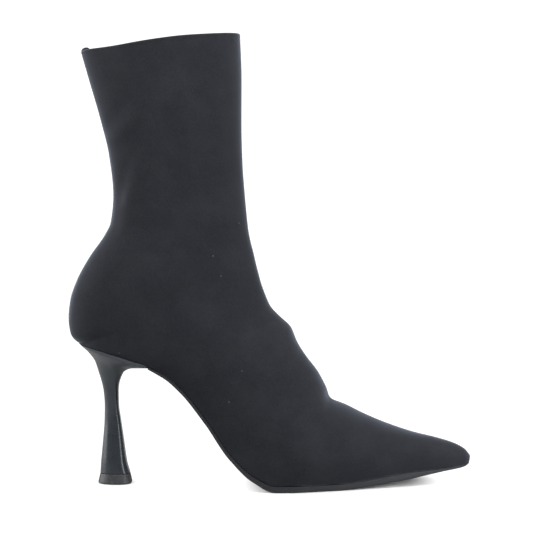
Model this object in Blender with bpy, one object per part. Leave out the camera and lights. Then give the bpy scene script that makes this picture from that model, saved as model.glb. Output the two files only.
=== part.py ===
# Heeled sock boot with a pointed toe, for the right foot
#
# Frame: +X runs to the toe, +Z is up and +Y is the medial side. The origin is on the floor,
# in the middle of the heel's top piece. All lengths are in metres.
#
# The upper is one hollow wall. Its shape is a fan of section planes that stand across the foot:
# each plane runs from the feather line (or the back line, up the shaft) to the top line.
# The outsole, the insole and the heel take their outlines from the same feather line.

import bisect
import math
from collections import namedtuple

import bmesh
import bpy
from mathutils import Vector

# Driving dimensions of the last
FOOT_LENGTH = 0.210         # middle of the heel's foot to the toe tip
BALL_WIDTH = 0.076          # sole across the ball
SEAT_WIDTH = 0.0486         # seat across the top of the heel
HEEL_WIDTH = 0.056          # upper across the heel bone
INSTEP_HEIGHT = 0.045       # upper over the sole at the ball
HEEL_HEIGHT = 0.0833        # floor to the back of the seat
TOE_SPRING = 0.0065         # rise of the toe tip over the ball

# Driving dimensions of the shaft
BOOT_HEIGHT = 0.2647        # floor to the front of the collar
COLLAR_DIP = 0.0100         # how much lower the collar is at the back
COLLAR_DEPTH = 0.0914
COLLAR_WIDTH = 0.060
ANKLE_DEPTH = 0.0768
ANKLE_WIDTH = 0.048
SHAFT_AXIS_X = 0.030        # the shaft's axis ahead of the heel's middle

# Thicknesses, and the small parts
UPPER_WALL = 0.0015
BINDING_HEIGHT = 0.0018
BINDING_STEP = 0.0003
SOLE_THICKNESS = 0.0036
SOLE_EDGE_BEVEL = 0.0006
INSOLE_THICKNESS = 0.0018
INSOLE_BEVEL = 0.0008       # how far the insole's upper edge is skived back
LIP_REACH = 0.0203          # middle of the heel's foot to the front of the heel's lip
TOP_PIECE_HEIGHT = 0.0059
TOP_PIECE_DEPTH = 0.0199
TOP_PIECE_WIDTH = 0.0190
TOP_PIECE_SET_BACK = 0.0005  # how far the top piece's middle lies behind the origin
TOP_PIECE_STEP = 0.0003
FOLD_HEIGHT = 0.0020        # the tallest fold over the instep
TOE_RADIUS = 0.0050
SEAT_ROUND = 0.0240         # length of the rounded back of the seat
GAP = 0.0003                # clearance between pieces that meet

# How finely the forms are cut into facets
SIDE_LOW_STEPS = 5          # from the feather line up to the widest edge
SIDE_HIGH_STEPS = 9         # from there to the crest
TOE_ROUND_STEPS = 4
VAMP_STEPS = 12
INSTEP_STEPS = 20
SEAT_ROUND_STEPS = 6
HEEL_STEPS = 8
SHAFT_STEPS = 8
BALL_PLACE = 9              # section at the ball, counted from the toe
ANKLE_PLACE = 25            # section at the ankle, counted the same way
SMOOTH_ANGLE = math.radians(40)

# Numerical steps
WELD_DISTANCE = 1e-7
HALVINGS = 60
SLOPE_STEP = 0.0002         # half the span over which a slope is taken

# Colour, roughness and metallic value of each material
KNIT_BLACK = ((0.030, 0.033, 0.040), 0.90, 0.0)
LINING_BLACK = ((0.035, 0.035, 0.038), 0.80, 0.0)
LACQUER_BLACK = ((0.008, 0.008, 0.009), 0.16, 0.0)
RUBBER_BLACK = ((0.022, 0.022, 0.023), 0.55, 0.0)
SOLE_BLACK = ((0.020, 0.020, 0.022), 0.42, 0.0)

# The feather line, where the upper meets the sole. along: share of FOOT_LENGTH.
# lift: share of the heel's height. spring: share of TOE_SPRING.
FeatherPoint = namedtuple("FeatherPoint", "along lift spring")
FEATHER_LINE = [
    FeatherPoint(-0.1005, 1.000, 0.00),
    FeatherPoint(-0.0380, 0.964, 0.00),
    FeatherPoint(0.0770, 0.867, 0.00),
    FeatherPoint(0.1440, 0.786, 0.00),
    FeatherPoint(0.1950, 0.670, 0.00),
    FeatherPoint(0.2620, 0.451, 0.00),
    FeatherPoint(0.3290, 0.205, 0.00),
    FeatherPoint(0.3940, 0.060, 0.00),
    FeatherPoint(0.4520, 0.000, 0.00),
    FeatherPoint(0.6200, 0.000, 0.00),
    FeatherPoint(0.7400, 0.000, 0.36),
    FeatherPoint(0.8320, 0.000, 0.70),
    FeatherPoint(0.9250, 0.000, 0.84),
    FeatherPoint(0.9650, 0.000, 0.95),
    FeatherPoint(0.9850, 0.000, 1.08),
    FeatherPoint(1.0000, 0.000, 1.32),
]

# Thickness of the outsole along the foot. share: of SOLE_THICKNESS.
SolePoint = namedtuple("SolePoint", "along share")
SOLE_LINE = [
    SolePoint(0.095, 0.30),
    SolePoint(0.135, 0.50),
    SolePoint(0.300, 0.55),
    SolePoint(0.400, 0.85),
    SolePoint(0.440, 1.00),
    SolePoint(0.660, 1.00),
    SolePoint(0.750, 1.12),
    SolePoint(0.820, 1.08),
    SolePoint(0.880, 0.70),
    SolePoint(0.930, 0.40),
    SolePoint(1.000, 0.26),
]

# The sole seen from above. size names the width that the row follows, and lateral and medial
# are the two edges as shares of it.
PlanPoint = namedtuple("PlanPoint", "size along lateral medial")
PLAN = [
    PlanPoint("seat", -0.1005, -0.500, 0.500),
    PlanPoint("seat", 0.0950, -0.495, 0.495),
    PlanPoint("seat", 0.1670, -0.478, 0.468),
    PlanPoint("ball", 0.2380, -0.322, 0.268),
    PlanPoint("ball", 0.3100, -0.382, 0.305),
    PlanPoint("ball", 0.3810, -0.461, 0.401),
    PlanPoint("ball", 0.4520, -0.498, 0.476),
    PlanPoint("ball", 0.5000, -0.493, 0.500),
    PlanPoint("ball", 0.5480, -0.458, 0.497),
    PlanPoint("ball", 0.6190, -0.398, 0.462),
    PlanPoint("ball", 0.6900, -0.330, 0.406),
    PlanPoint("ball", 0.7620, -0.258, 0.342),
    PlanPoint("ball", 0.8330, -0.184, 0.276),
    PlanPoint("ball", 0.9050, -0.104, 0.206),
    PlanPoint("ball", 0.9620, -0.034, 0.148),
    PlanPoint("ball", 1.0000, 0.008, 0.124),
]

# Sections of the foot, from the toe to the back of the seat.
# foot and top_x: where the plane meets the feather line and the top line, of FOOT_LENGTH.
# rise: height of the top line over the feather line, of INSTEP_HEIGHT.
# lateral, medial, ridge: the widest edges and the crest, of the row's size.
# widest: where it is widest, of the way from the feather line to the top line.
FootSection = namedtuple("FootSection", "size foot top_x rise lateral medial ridge widest")
FOOT_SECTIONS = [
    FootSection("ball", 1.0000, 1.0015, 0.062, 0.004, 0.128, 0.066, 0.45),
    FootSection("ball", 0.9930, 0.9960, 0.118, -0.005, 0.133, 0.065, 0.44),
    FootSection("ball", 0.9800, 0.9865, 0.190, -0.022, 0.144, 0.063, 0.42),
    FootSection("ball", 0.9490, 0.9600, 0.282, -0.064, 0.172, 0.058, 0.40),
    FootSection("ball", 0.8950, 0.9090, 0.376, -0.132, 0.230, 0.050, 0.38),
    FootSection("ball", 0.8190, 0.8430, 0.470, -0.218, 0.306, 0.042, 0.35),
    FootSection("ball", 0.7240, 0.7640, 0.646, -0.316, 0.396, 0.034, 0.32),
    FootSection("ball", 0.6330, 0.6950, 0.826, -0.408, 0.468, 0.029, 0.30),
    FootSection("ball", 0.5570, 0.6550, 0.922, -0.475, 0.512, 0.026, 0.28),
    FootSection("ball", 0.4950, 0.6210, 0.998, -0.516, 0.521, 0.024, 0.27),
    FootSection("ball", 0.4380, 0.5885, 1.200, -0.507, 0.490, 0.020, 0.28),
    FootSection("ball", 0.3810, 0.5595, 1.284, -0.474, 0.434, 0.014, 0.29),
    FootSection("ball", 0.3240, 0.5280, 1.250, -0.428, 0.388, 0.008, 0.31),
    FootSection("ball", 0.2620, 0.4976, 1.064, -0.390, 0.366, 0.004, 0.33),
    FootSection("heel", 0.1950, 0.4690, 0.871, -0.507, 0.493, 0.000, 0.35),
    FootSection("heel", 0.1190, 0.4430, 0.780, -0.504, 0.496, 0.000, 0.36),
    FootSection("heel", 0.0240, 0.4233, 0.755, -0.500, 0.500, 0.000, 0.37),
    FootSection("heel", -0.0480, 0.4138, 0.769, -0.500, 0.500, 0.000, 0.37),
    FootSection("heel", -0.1005, 0.4076, 0.804, -0.500, 0.500, 0.000, 0.38),
]

# Sections of the shaft, from the seat up to the collar. back and front: places of the two
# lines, of FOOT_LENGTH in a heel row, and of the row's depth from the shaft's axis above it.
# back_rise, front_rise: shares of the way up to the collar. half: half width, of the row's size.
# back_round, front_round: roundness of the two halves, 2 in an ellipse and less in a lens.
ShaftSection = namedtuple(
    "ShaftSection", "size back back_rise front front_rise half widest back_round front_round")
SHAFT_SECTIONS = [
    ShaftSection("heel", -0.1238, 0.031, 0.4029, 0.026, 0.500, 0.39, 2.2, 2.0),
    ShaftSection("heel", -0.1298, 0.084, 0.3967, 0.060, 0.500, 0.40, 2.2, 2.0),
    ShaftSection("heel", -0.1250, 0.144, 0.3914, 0.093, 0.493, 0.41, 2.2, 2.0),
    ShaftSection("heel", -0.1080, 0.208, 0.3862, 0.125, 0.479, 0.42, 2.2, 2.0),
    ShaftSection("heel", -0.0719, 0.290, 0.3795, 0.162, 0.454, 0.44, 2.2, 2.0),
    ShaftSection("ankle", -0.4600, 0.373, 0.6300, 0.210, 0.508, 0.46, 2.1, 2.0),
    ShaftSection("ankle", -0.4190, 0.413, 0.6230, 0.241, 0.502, 0.47, 2.1, 2.0),
    ShaftSection("ankle", -0.3980, 0.510, 0.6020, 0.360, 0.500, 0.49, 2.0, 2.0),
    ShaftSection("ankle", -0.4270, 0.639, 0.5850, 0.489, 0.521, 0.50, 2.0, 2.0),
    ShaftSection("collar", -0.4120, 0.762, 0.4860, 0.637, 0.443, 0.51, 2.0, 2.0),
    ShaftSection("collar", -0.4770, 0.884, 0.4870, 0.816, 0.473, 0.53, 2.0, 2.0),
    ShaftSection("collar", -0.5380, 1.000, 0.4770, 1.000, 0.500, 0.55, 2.0, 2.0),
]

# Soft folds over the instep. place and spread count foot sections from the toe.
# height: share of FOLD_HEIGHT, less than nothing in a trough. wrap: how far it runs down the side.
Fold = namedtuple("Fold", "place spread height wrap")
FOLDS = [
    Fold(9.35, 0.36, -0.75, 0.45),
    Fold(10.65, 0.60, 0.30, 0.40),
    Fold(13.45, 0.62, 0.95, 0.50),
    Fold(15.10, 0.62, -0.50, 0.50),
]

# Sections of the heel under its seat. A seat row's lengths are shares of the seat's back, the
# lip's reach and SEAT_WIDTH. A column row's lengths are shares of the top piece.
# back_z and front_z: shares of HEEL_HEIGHT. breast: width of the front face, of the row's width.
HeelSection = namedtuple("HeelSection", "size back back_z front front_z half breast")
HEEL_SECTIONS = [
    HeelSection("seat", 0.957, 0.986, 1.000, 0.842, 0.494, 0.98),
    HeelSection("seat", 0.830, 0.958, 0.880, 0.838, 0.458, 0.93),
    HeelSection("seat", 0.682, 0.916, 0.680, 0.832, 0.384, 0.84),
    HeelSection("seat", 0.569, 0.873, 0.490, 0.826, 0.304, 0.74),
    HeelSection("seat", 0.510, 0.831, 0.310, 0.808, 0.236, 0.65),
    HeelSection("column", -0.487, 0.788, 0.204, 0.780, 0.470, 0.58),
    HeelSection("column", -0.432, 0.745, 0.134, 0.742, 0.374, 0.56),
    HeelSection("column", -0.386, 0.703, 0.090, 0.702, 0.308, 0.55),
    HeelSection("column", -0.352, 0.660, 0.076, 0.660, 0.262, 0.55),
    HeelSection("column", -0.319, 0.552, 0.085, 0.552, 0.245, 0.55),
    HeelSection("column", -0.327, 0.446, 0.144, 0.446, 0.264, 0.55),
    HeelSection("column", -0.367, 0.318, 0.218, 0.318, 0.316, 0.55),
    HeelSection("column", -0.402, 0.232, 0.264, 0.232, 0.354, 0.54),
    HeelSection("column", -0.434, 0.145, 0.320, 0.145, 0.396, 0.52),
]
HEEL_FOOT_SHARE = 0.86      # the heel's lower end, as a share of the top piece
TOP_PIECE_BREAST = 0.50
BREAST_ROUND = 2.4          # how late the sides turn in to the breast
FLOOR_ARRIS = 0.0004        # small bevel round the top piece's lower edge

LOWER_ROUND = 2.2           # roundness of the lower part of each section of the foot
CREST_ROUND = 2.0           # roundness of its upper part
SOLE_SHOULDER = 0.35        # where the sole's upright edge ends, of its thickness from below
BEVEL_LIMIT = 0.25          # the sole's bevel at most, of the sole's width


def monotone_curve(knots, values):
    """Return a smooth function through the values that never overshoots them."""
    spans = [after - before for before, after in zip(knots, knots[1:])]
    rises = [(after - before) / span for before, after, span in zip(values, values[1:], spans)]
    tangents = [rises[0]]
    for index in range(1, len(spans)):
        before, after = rises[index - 1], rises[index]
        if before * after <= 0:
            tangents.append(0.0)
            continue
        heavy = 2 * spans[index] + spans[index - 1]
        light = spans[index] + 2 * spans[index - 1]
        tangents.append((heavy + light) / (heavy / before + light / after))
    tangents.append(rises[-1])

    def curve(at):
        index = max(0, min(bisect.bisect_right(knots, at) - 1, len(spans) - 1))
        span = spans[index]
        t = max(0.0, min(1.0, (at - knots[index]) / span))
        start = (1 + 2 * t) * (1 - t) ** 2 * values[index]
        end = t * t * (3 - 2 * t) * values[index + 1]
        leave = t * (1 - t) ** 2 * span * tangents[index]
        arrive = t * t * (t - 1) * span * tangents[index + 1]
        return start + end + leave + arrive

    return curve


def spread_evenly(start, end, count):
    """Return count steps from start up to, but without, end."""
    return [start + (end - start) * index / count for index in range(count)]


def solve_rising(function, target, low, high):
    """Return where a falling or rising function reaches the target, by halving."""
    rising = function(high) > function(low)
    for _ in range(HALVINGS):
        middle = (low + high) / 2
        if (function(middle) < target) == rising:
            low = middle
        else:
            high = middle
    return (low + high) / 2


# The feather line and the sole's plan

WIDTHS = {"ball": BALL_WIDTH, "heel": HEEL_WIDTH, "seat": SEAT_WIDTH}
FEATHER_BASE = SOLE_THICKNESS + GAP
HEEL_LIFT = HEEL_HEIGHT - FEATHER_BASE
SEAT_BACK = FEATHER_LINE[0].along * FOOT_LENGTH
TOE_TIP = FEATHER_LINE[-1].along * FOOT_LENGTH

feather_height = monotone_curve(
    [row.along * FOOT_LENGTH for row in FEATHER_LINE],
    [FEATHER_BASE + row.lift * HEEL_LIFT + row.spring * TOE_SPRING for row in FEATHER_LINE],
)
sole_depth = monotone_curve(
    [row.along * FOOT_LENGTH for row in SOLE_LINE],
    [row.share * SOLE_THICKNESS for row in SOLE_LINE],
)
plan_lateral = monotone_curve(
    [row.along * FOOT_LENGTH for row in PLAN],
    [row.lateral * WIDTHS[row.size] for row in PLAN],
)
plan_medial = monotone_curve(
    [row.along * FOOT_LENGTH for row in PLAN],
    [row.medial * WIDTHS[row.size] for row in PLAN],
)


def round_share(distance, length):
    """Return the share of full width at a distance from a rounded end."""
    short = max(0.0, 1.0 - distance / length)
    return math.sqrt(max(0.0, 1.0 - short * short))


def toe_share(x):
    """Return how much of the full width the rounded toe has left at x."""
    return round_share(TOE_TIP - x, TOE_RADIUS)


def seat_share(x):
    """Return how much of the full width the rounded seat has at x."""
    return round_share(x - SEAT_BACK, SEAT_ROUND)


def plan_middle(x):
    """Return the middle of the sole at x."""
    return (plan_lateral(x) + plan_medial(x)) / 2


def sole_edges(x):
    """Return the lateral and medial edges of the sole, with both ends rounded."""
    middle = plan_middle(x)
    share = toe_share(x) * seat_share(x)
    return middle + (plan_lateral(x) - middle) * share, middle + (plan_medial(x) - middle) * share


def feather_lean(x):
    """Return how much longer an upright cut through a layer is than the layer is thick."""
    slope = (feather_height(x + SLOPE_STEP) - feather_height(x - SLOPE_STEP)) / (2 * SLOPE_STEP)
    return math.hypot(1.0, slope)


# The upper's sections, as smooth functions of the travel from the toe

Section = namedtuple(
    "Section", "bottom_x bottom_z top_x top_z lateral medial ridge widest low_round high_round")


def foot_section(row):
    """Return a row of FOOT_SECTIONS as a section in metres."""
    width = WIDTHS[row.size]
    bottom_x = row.foot * FOOT_LENGTH
    bottom_z = feather_height(bottom_x)
    top_z = bottom_z + row.rise * INSTEP_HEIGHT
    sides = (row.lateral * width, row.medial * width, row.ridge * width)
    return Section(
        bottom_x, bottom_z, row.top_x * FOOT_LENGTH, top_z, *sides,
        row.widest, LOWER_ROUND, CREST_ROUND)


def shaft_section(row, seat):
    """Return a row of SHAFT_SECTIONS as a section in metres, above the seat's last section."""
    axis_x, depth, width = {
        "heel": (0.0, FOOT_LENGTH, HEEL_WIDTH),
        "ankle": (SHAFT_AXIS_X, ANKLE_DEPTH, ANKLE_WIDTH),
        "collar": (SHAFT_AXIS_X, COLLAR_DEPTH, COLLAR_WIDTH),
    }[row.size]
    back_z = seat.bottom_z + row.back_rise * (BOOT_HEIGHT - COLLAR_DIP - seat.bottom_z)
    front_z = seat.top_z + row.front_rise * (BOOT_HEIGHT - seat.top_z)
    half = row.half * width
    return Section(
        axis_x + row.back * depth, back_z, axis_x + row.front * depth, front_z, -half, half, 0.0,
        row.widest, row.back_round, row.front_round)


def all_sections():
    """Return the upper's sections, from the toe to the seat and on up to the collar."""
    foot = [foot_section(row) for row in FOOT_SECTIONS]
    return foot + [shaft_section(row, foot[-1]) for row in SHAFT_SECTIONS]


def travel_of(sections):
    """Return how far each section is from the toe, as the mean way along both lines."""
    travel = [0.0]
    for before, after in zip(sections, sections[1:]):
        low = math.hypot(after.bottom_x - before.bottom_x, after.bottom_z - before.bottom_z)
        high = math.hypot(after.top_x - before.top_x, after.top_z - before.top_z)
        travel.append(travel[-1] + (low + high) / 2)
    return travel


SECTIONS = all_sections()
TRAVEL = travel_of(SECTIONS)
SEAT_INDEX = len(FOOT_SECTIONS) - 1
SEAT_TRAVEL = TRAVEL[SEAT_INDEX]
COLLAR_TRAVEL = TRAVEL[-1]
CURVES = Section(*[monotone_curve(TRAVEL, list(column)) for column in zip(*SECTIONS)])


def travel_at(place):
    """Return the travel at a place that counts sections from the toe."""
    index = min(int(place), len(TRAVEL) - 2)
    return TRAVEL[index] + (place - index) * (TRAVEL[index + 1] - TRAVEL[index])


def travel_at_foot(x):
    """Return the travel of the section that meets the feather line at x."""
    return solve_rising(CURVES.bottom_x, x, 0.0, SEAT_TRAVEL)


def section_at(travel):
    """Return the section at any travel, between the rows of the tables."""
    return Section(*[curve(travel) for curve in CURVES])


def side_points(section, side, foot, travel):
    """Return one side of a section, from the feather line or the back line up to the crest.

    side is the widest edge, foot the edge of the sole. The lower part is an arc of a
    superellipse that is cut off where it is as wide as the sole.
    """
    open_below = travel <= SEAT_TRAVEL
    end_share = toe_share(section.bottom_x) if open_below else 1.0
    middle = plan_middle(section.bottom_x) if open_below else 0.0
    crest = middle + (section.ridge - middle) * end_share
    edge = middle + (side - middle) * end_share
    sole_share = (foot - middle) / (side - middle) if open_below else 0.0
    low_power = 2 / section.low_round
    high_power = 2 / section.high_round
    first = math.asin(min(1.0, max(0.0, sole_share)) ** (1 / low_power))
    reach = math.cos(first) ** low_power
    points = []
    for step in range(SIDE_LOW_STEPS):
        angle = first + (math.pi / 2 - first) * step / SIDE_LOW_STEPS
        share = math.sin(angle) ** low_power
        along = section.widest * (1 - math.cos(angle) ** low_power / reach)
        points.append((along, middle + (edge - middle) * share))
    for step in range(SIDE_HIGH_STEPS + 1):
        angle = math.pi / 2 * step / SIDE_HIGH_STEPS
        share = max(0.0, math.cos(angle)) ** high_power
        along = section.widest + (1 - section.widest) * math.sin(angle) ** high_power
        points.append((along, crest + (edge - crest) * share))
    return points


def section_ring(travel):
    """Return the points of a section from the lateral foot over the crest to the medial foot."""
    section = section_at(travel)
    middle = plan_middle(section.bottom_x)
    round_end = seat_share(section.bottom_x) if travel < SEAT_TRAVEL else 0.0
    feet = [middle + (edge - middle) * round_end
            for edge in (plan_lateral(section.bottom_x), plan_medial(section.bottom_x))]
    lateral = side_points(section, section.lateral, feet[0], travel)
    medial = side_points(section, section.medial, feet[1], travel)
    ring = []
    for along, y in lateral + medial[-2::-1]:
        x = section.bottom_x + along * (section.top_x - section.bottom_x)
        z = section.bottom_z + along * (section.top_z - section.bottom_z)
        ring.append(Vector((x, y, z)))
    return ring


def fold_height(travel, from_crest):
    """Return how far the folds lift the surface. from_crest: 0 at the crest, 1 at the foot."""
    height = 0.0
    for fold in FOLDS:
        centre = travel_at(fold.place)
        spread = travel_at(fold.place + fold.spread) - centre
        across = math.exp(-((travel - centre) / spread) ** 2)
        height += fold.height * FOLD_HEIGHT * across * math.exp(-(from_crest / fold.wrap) ** 2)
    return height


def upper_stations():
    """Return the travels at which the upper is cut, with more of them where it bends."""
    toe_turns = spread_evenly(0.0, math.pi / 2, TOE_ROUND_STEPS)
    seat_turns = spread_evenly(0.0, math.pi / 2, SEAT_ROUND_STEPS)
    toe_end = travel_at_foot(TOE_TIP - TOE_RADIUS)
    ball = travel_at(BALL_PLACE)
    seat_start = travel_at_foot(SEAT_BACK + SEAT_ROUND)
    ankle = travel_at(ANKLE_PLACE)
    binding = COLLAR_TRAVEL - BINDING_HEIGHT
    toe = [travel_at_foot(TOE_TIP - TOE_RADIUS * (1 - math.cos(turn))) for turn in toe_turns]
    vamp = spread_evenly(toe_end, ball, VAMP_STEPS)
    instep = spread_evenly(ball, seat_start, INSTEP_STEPS)
    seat = [travel_at_foot(SEAT_BACK + SEAT_ROUND * (1 - math.sin(turn))) for turn in seat_turns]
    heel = spread_evenly(SEAT_TRAVEL, ankle, HEEL_STEPS)
    shaft = spread_evenly(ankle, binding, SHAFT_STEPS)
    collar = [binding, binding + BINDING_STEP / 2, COLLAR_TRAVEL]
    return toe + vamp + instep + seat + heel + shaft + collar


STATIONS = upper_stations()
FOOT_STATIONS = [travel for travel in STATIONS if travel <= SEAT_TRAVEL]


# Mesh building

class Draft:
    """A mesh being drawn, whose points are joined where they coincide."""

    def __init__(self):
        self.points = []
        self.places = {}
        self.faces = []

    def point(self, place):
        """Return the index of the point at a place, which is added if it is new."""
        key = tuple(round(value / WELD_DISTANCE) for value in place)
        if key not in self.places:
            self.places[key] = len(self.points)
            self.points.append(Vector(place))
        return self.places[key]

    def face(self, *corners):
        """Add a face, without the corners that coincide."""
        loop = []
        for corner in corners:
            index = self.point(corner)
            if index not in loop:
                loop.append(index)
        if len(loop) > 2:
            self.faces.append(loop)

    def strip(self, first, second):
        """Join two rows of points by quads."""
        for index in range(len(first) - 1):
            self.face(first[index], second[index], second[index + 1], first[index + 1])

    def normals(self):
        """Return the outward direction at each point, from the faces around it."""
        mesh = bmesh.new()
        corners = [mesh.verts.new(point) for point in self.points]
        for loop in self.faces:
            mesh.faces.new([corners[index] for index in loop])
        mesh.normal_update()
        directions = [corner.normal.copy() for corner in corners]
        mesh.free()
        return directions


def add_piece(name, draft, material):
    """Make a named object of a closed draft, with its faces turned outward."""
    mesh = bpy.data.meshes.new(name)
    mesh.from_pydata([tuple(point) for point in draft.points], [], draft.faces)
    body = bmesh.new()
    body.from_mesh(mesh)
    bmesh.ops.recalc_face_normals(body, faces=body.faces)
    body.to_mesh(mesh)
    body.free()
    mesh.shade_smooth()
    mesh.set_sharp_from_angle(angle=SMOOTH_ANGLE)
    mesh.materials.append(material)
    piece = bpy.data.objects.new(name, mesh)
    bpy.context.scene.collection.objects.link(piece)
    return piece


def make_material(name, finish):
    """Return a material of one colour, roughness and metallic value."""
    colour, roughness, metallic = finish
    material = bpy.data.materials.new(name)
    material.use_nodes = True
    shader = material.node_tree.nodes["Principled BSDF"]
    shader.inputs["Base Color"].default_value = (*colour, 1.0)
    shader.inputs["Roughness"].default_value = roughness
    shader.inputs["Metallic"].default_value = metallic
    material.diffuse_color = (*colour, 1.0)
    return material


# The feather edge as a loop, for what fits inside the upper's foot

def feather_pairs(inset):
    """Return the lateral and medial edges at each foot station, moved inward by the inset."""
    sides = [sole_edges(CURVES.bottom_x(travel)) for travel in FOOT_STATIONS]
    places = [CURVES.bottom_x(travel) for travel in FOOT_STATIONS]
    lateral = [Vector((x, edge[0], feather_height(x))) for x, edge in zip(places, sides)]
    medial = [Vector((x, edge[1], feather_height(x))) for x, edge in zip(places, sides)]
    loop = medial[:0:-1] + lateral[:-1]
    moved = []
    for index, point in enumerate(loop):
        along = loop[(index + 1) % len(loop)] - loop[index - 1]
        inward = Vector((along.y, -along.x, 0.0)).normalized()
        x = point.x + inward.x * inset
        moved.append(Vector((x, point.y + inward.y * inset, feather_height(x))))
    count = len(FOOT_STATIONS)
    back = moved[0]
    tip = moved[count - 1]
    inner_medial = [tip] + moved[count - 2:0:-1] + [back]
    inner_lateral = [tip] + moved[count:] + [back]
    return list(zip(inner_lateral, inner_medial))


# The pieces

def build_upper(material):
    """One hollow wall, open at the collar and along the feather edge."""
    rings = [section_ring(travel) for travel in STATIONS]
    skin = Draft()
    for before, after in zip(rings, rings[1:]):
        skin.strip(after, before)
    directions = skin.normals()
    half = SIDE_LOW_STEPS + SIDE_HIGH_STEPS
    binding_start = COLLAR_TRAVEL - BINDING_HEIGHT
    outer, inner = [], []
    for travel, ring in zip(STATIONS, rings):
        step = BINDING_STEP if travel > binding_start else 0.0
        outer_ring, inner_ring = [], []
        for index, point in enumerate(ring):
            direction = directions[skin.point(point)]
            fold = fold_height(travel, abs(index - half) / half)
            outer_ring.append(point + direction * (fold + step))
            inner_ring.append(point + direction * (fold - UPPER_WALL))
        outer.append(outer_ring)
        inner.append(inner_ring)
    edges = feather_pairs(0.0)
    inset_edges = feather_pairs(UPPER_WALL)
    for index in range(len(FOOT_STATIONS)):
        outer[index][0], outer[index][-1] = edges[index]
        inner[index][0], inner[index][-1] = inset_edges[index]
    draft = Draft()
    for rows in (outer, inner):
        for before, after in zip(rows, rows[1:]):
            draft.strip(before, after)
    foot_count = len(FOOT_STATIONS)
    for side in (0, -1):
        draft.strip([row[side] for row in outer[:foot_count]], [row[side] for row in inner[:foot_count]])
    draft.strip(outer[-1], inner[-1])
    return add_piece("upper", draft, material)


def build_outsole(material):
    """The sole from the heel's lip to the toe, flat on the floor under the ball."""
    start = LIP_REACH + GAP
    places = [CURVES.bottom_x(travel) for travel in FOOT_STATIONS]
    places = [x for x in places if x > start + GAP] + [start]
    rows = []
    for x in places:
        lateral, medial = sole_edges(x)
        middle = (lateral + medial) / 2
        lean = feather_lean(x)
        top = feather_height(x) - GAP * lean
        bottom = max(0.0, top - sole_depth(x) * lean)
        bevel = min(SOLE_EDGE_BEVEL, (medial - lateral) * BEVEL_LIMIT)
        shoulder = bottom + (top - bottom) * SOLE_SHOULDER
        rows.append([Vector((x, y, z)) for y, z in (
            (lateral, top), (lateral, shoulder), (lateral + bevel, bottom), (middle, bottom),
            (medial - bevel, bottom), (medial, shoulder), (medial, top), (middle, top),
        )])
    draft = Draft()
    for before, after in zip(rows, rows[1:]):
        draft.strip(before + before[:1], after + after[:1])
    draft.face(*rows[-1])
    return add_piece("outsole", draft, material)


def build_insole(material):
    """A thin sole inside the upper, on the outsole and the heel's seat."""
    draft = Draft()
    up = Vector((0.0, 0.0, INSOLE_THICKNESS))
    low_pairs = feather_pairs(UPPER_WALL + GAP)
    high_pairs = feather_pairs(UPPER_WALL + GAP + INSOLE_BEVEL)
    rows = []
    for (lateral, medial), (high_lateral, high_medial) in zip(low_pairs, high_pairs):
        rows.append([lateral, medial, high_medial + up, high_lateral + up, lateral])
    for before, after in zip(rows, rows[1:]):
        draft.strip(before, after)
    for row in (rows[0], rows[-1]):
        draft.face(*row[:4])
    return add_piece("insole", draft, material)


def heel_shares():
    """Return the seat's stations as shares of the way from its back to its lip."""
    places = [CURVES.bottom_x(travel) for travel in FOOT_STATIONS]
    near = [x for x in reversed(places) if x < LIP_REACH - GAP] + [LIP_REACH]
    return [(x - SEAT_BACK) / (LIP_REACH - SEAT_BACK) for x in near]


def column_sides(shares, half, breast):
    """Return half widths of a section that is round at the back and flatter at the breast."""
    turn = SEAT_ROUND / (LIP_REACH - SEAT_BACK)
    widths = []
    for share in shares:
        late = max(0.0, (share - turn) / (1 - turn))
        widths.append(half * round_share(share, turn) * (1 - (1 - breast) * late ** BREAST_ROUND))
    return widths


def mirrored_sides(sides):
    """Return the lateral and the medial points of (x, half width, z) rows."""
    lateral = [Vector((x, -half, z)) for x, half, z in sides]
    medial = [Vector((x, half, z)) for x, half, z in sides]
    return lateral, medial


def loft_column(name, levels, material):
    """Join the levels of a heel or a top piece into one closed body."""
    draft = Draft()
    rings = [mirrored_sides(level) for level in levels]
    for (upper_lateral, upper_medial), (lower_lateral, lower_medial) in zip(rings, rings[1:]):
        draft.strip(upper_lateral, lower_lateral)
        draft.strip(upper_medial, lower_medial)
        draft.face(upper_lateral[-1], lower_lateral[-1], lower_medial[-1], upper_medial[-1])
    for lateral, medial in (rings[0], rings[-1]):
        draft.strip(lateral, medial)
    return add_piece(name, draft, material)


def heel_level(shares, row):
    """Return a row of HEEL_SECTIONS as (x, half width, z) rows, from its back to its front."""
    if row.size == "seat":
        back, front, width = SEAT_BACK * row.back, LIP_REACH * row.front, SEAT_WIDTH
    else:
        back, front, width = TOP_PIECE_DEPTH * row.back, TOP_PIECE_DEPTH * row.front, TOP_PIECE_WIDTH
    halves = column_sides(shares, row.half * width, row.breast)
    level = []
    for share, half in zip(shares, halves):
        height = row.back_z + (row.front_z - row.back_z) * share
        level.append((back + (front - back) * share, half, height * HEEL_HEIGHT))
    return level


def top_piece_level(shares, height, grow):
    """Return a flat level of the top piece's outline, grown outward by a small amount."""
    depth = TOP_PIECE_DEPTH + 2 * grow
    width = TOP_PIECE_WIDTH + 2 * grow
    halves = column_sides(shares, width / 2, TOP_PIECE_BREAST)
    back = -TOP_PIECE_SET_BACK - depth / 2
    return [(back + share * depth, half, height) for share, half in zip(shares, halves)]


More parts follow.
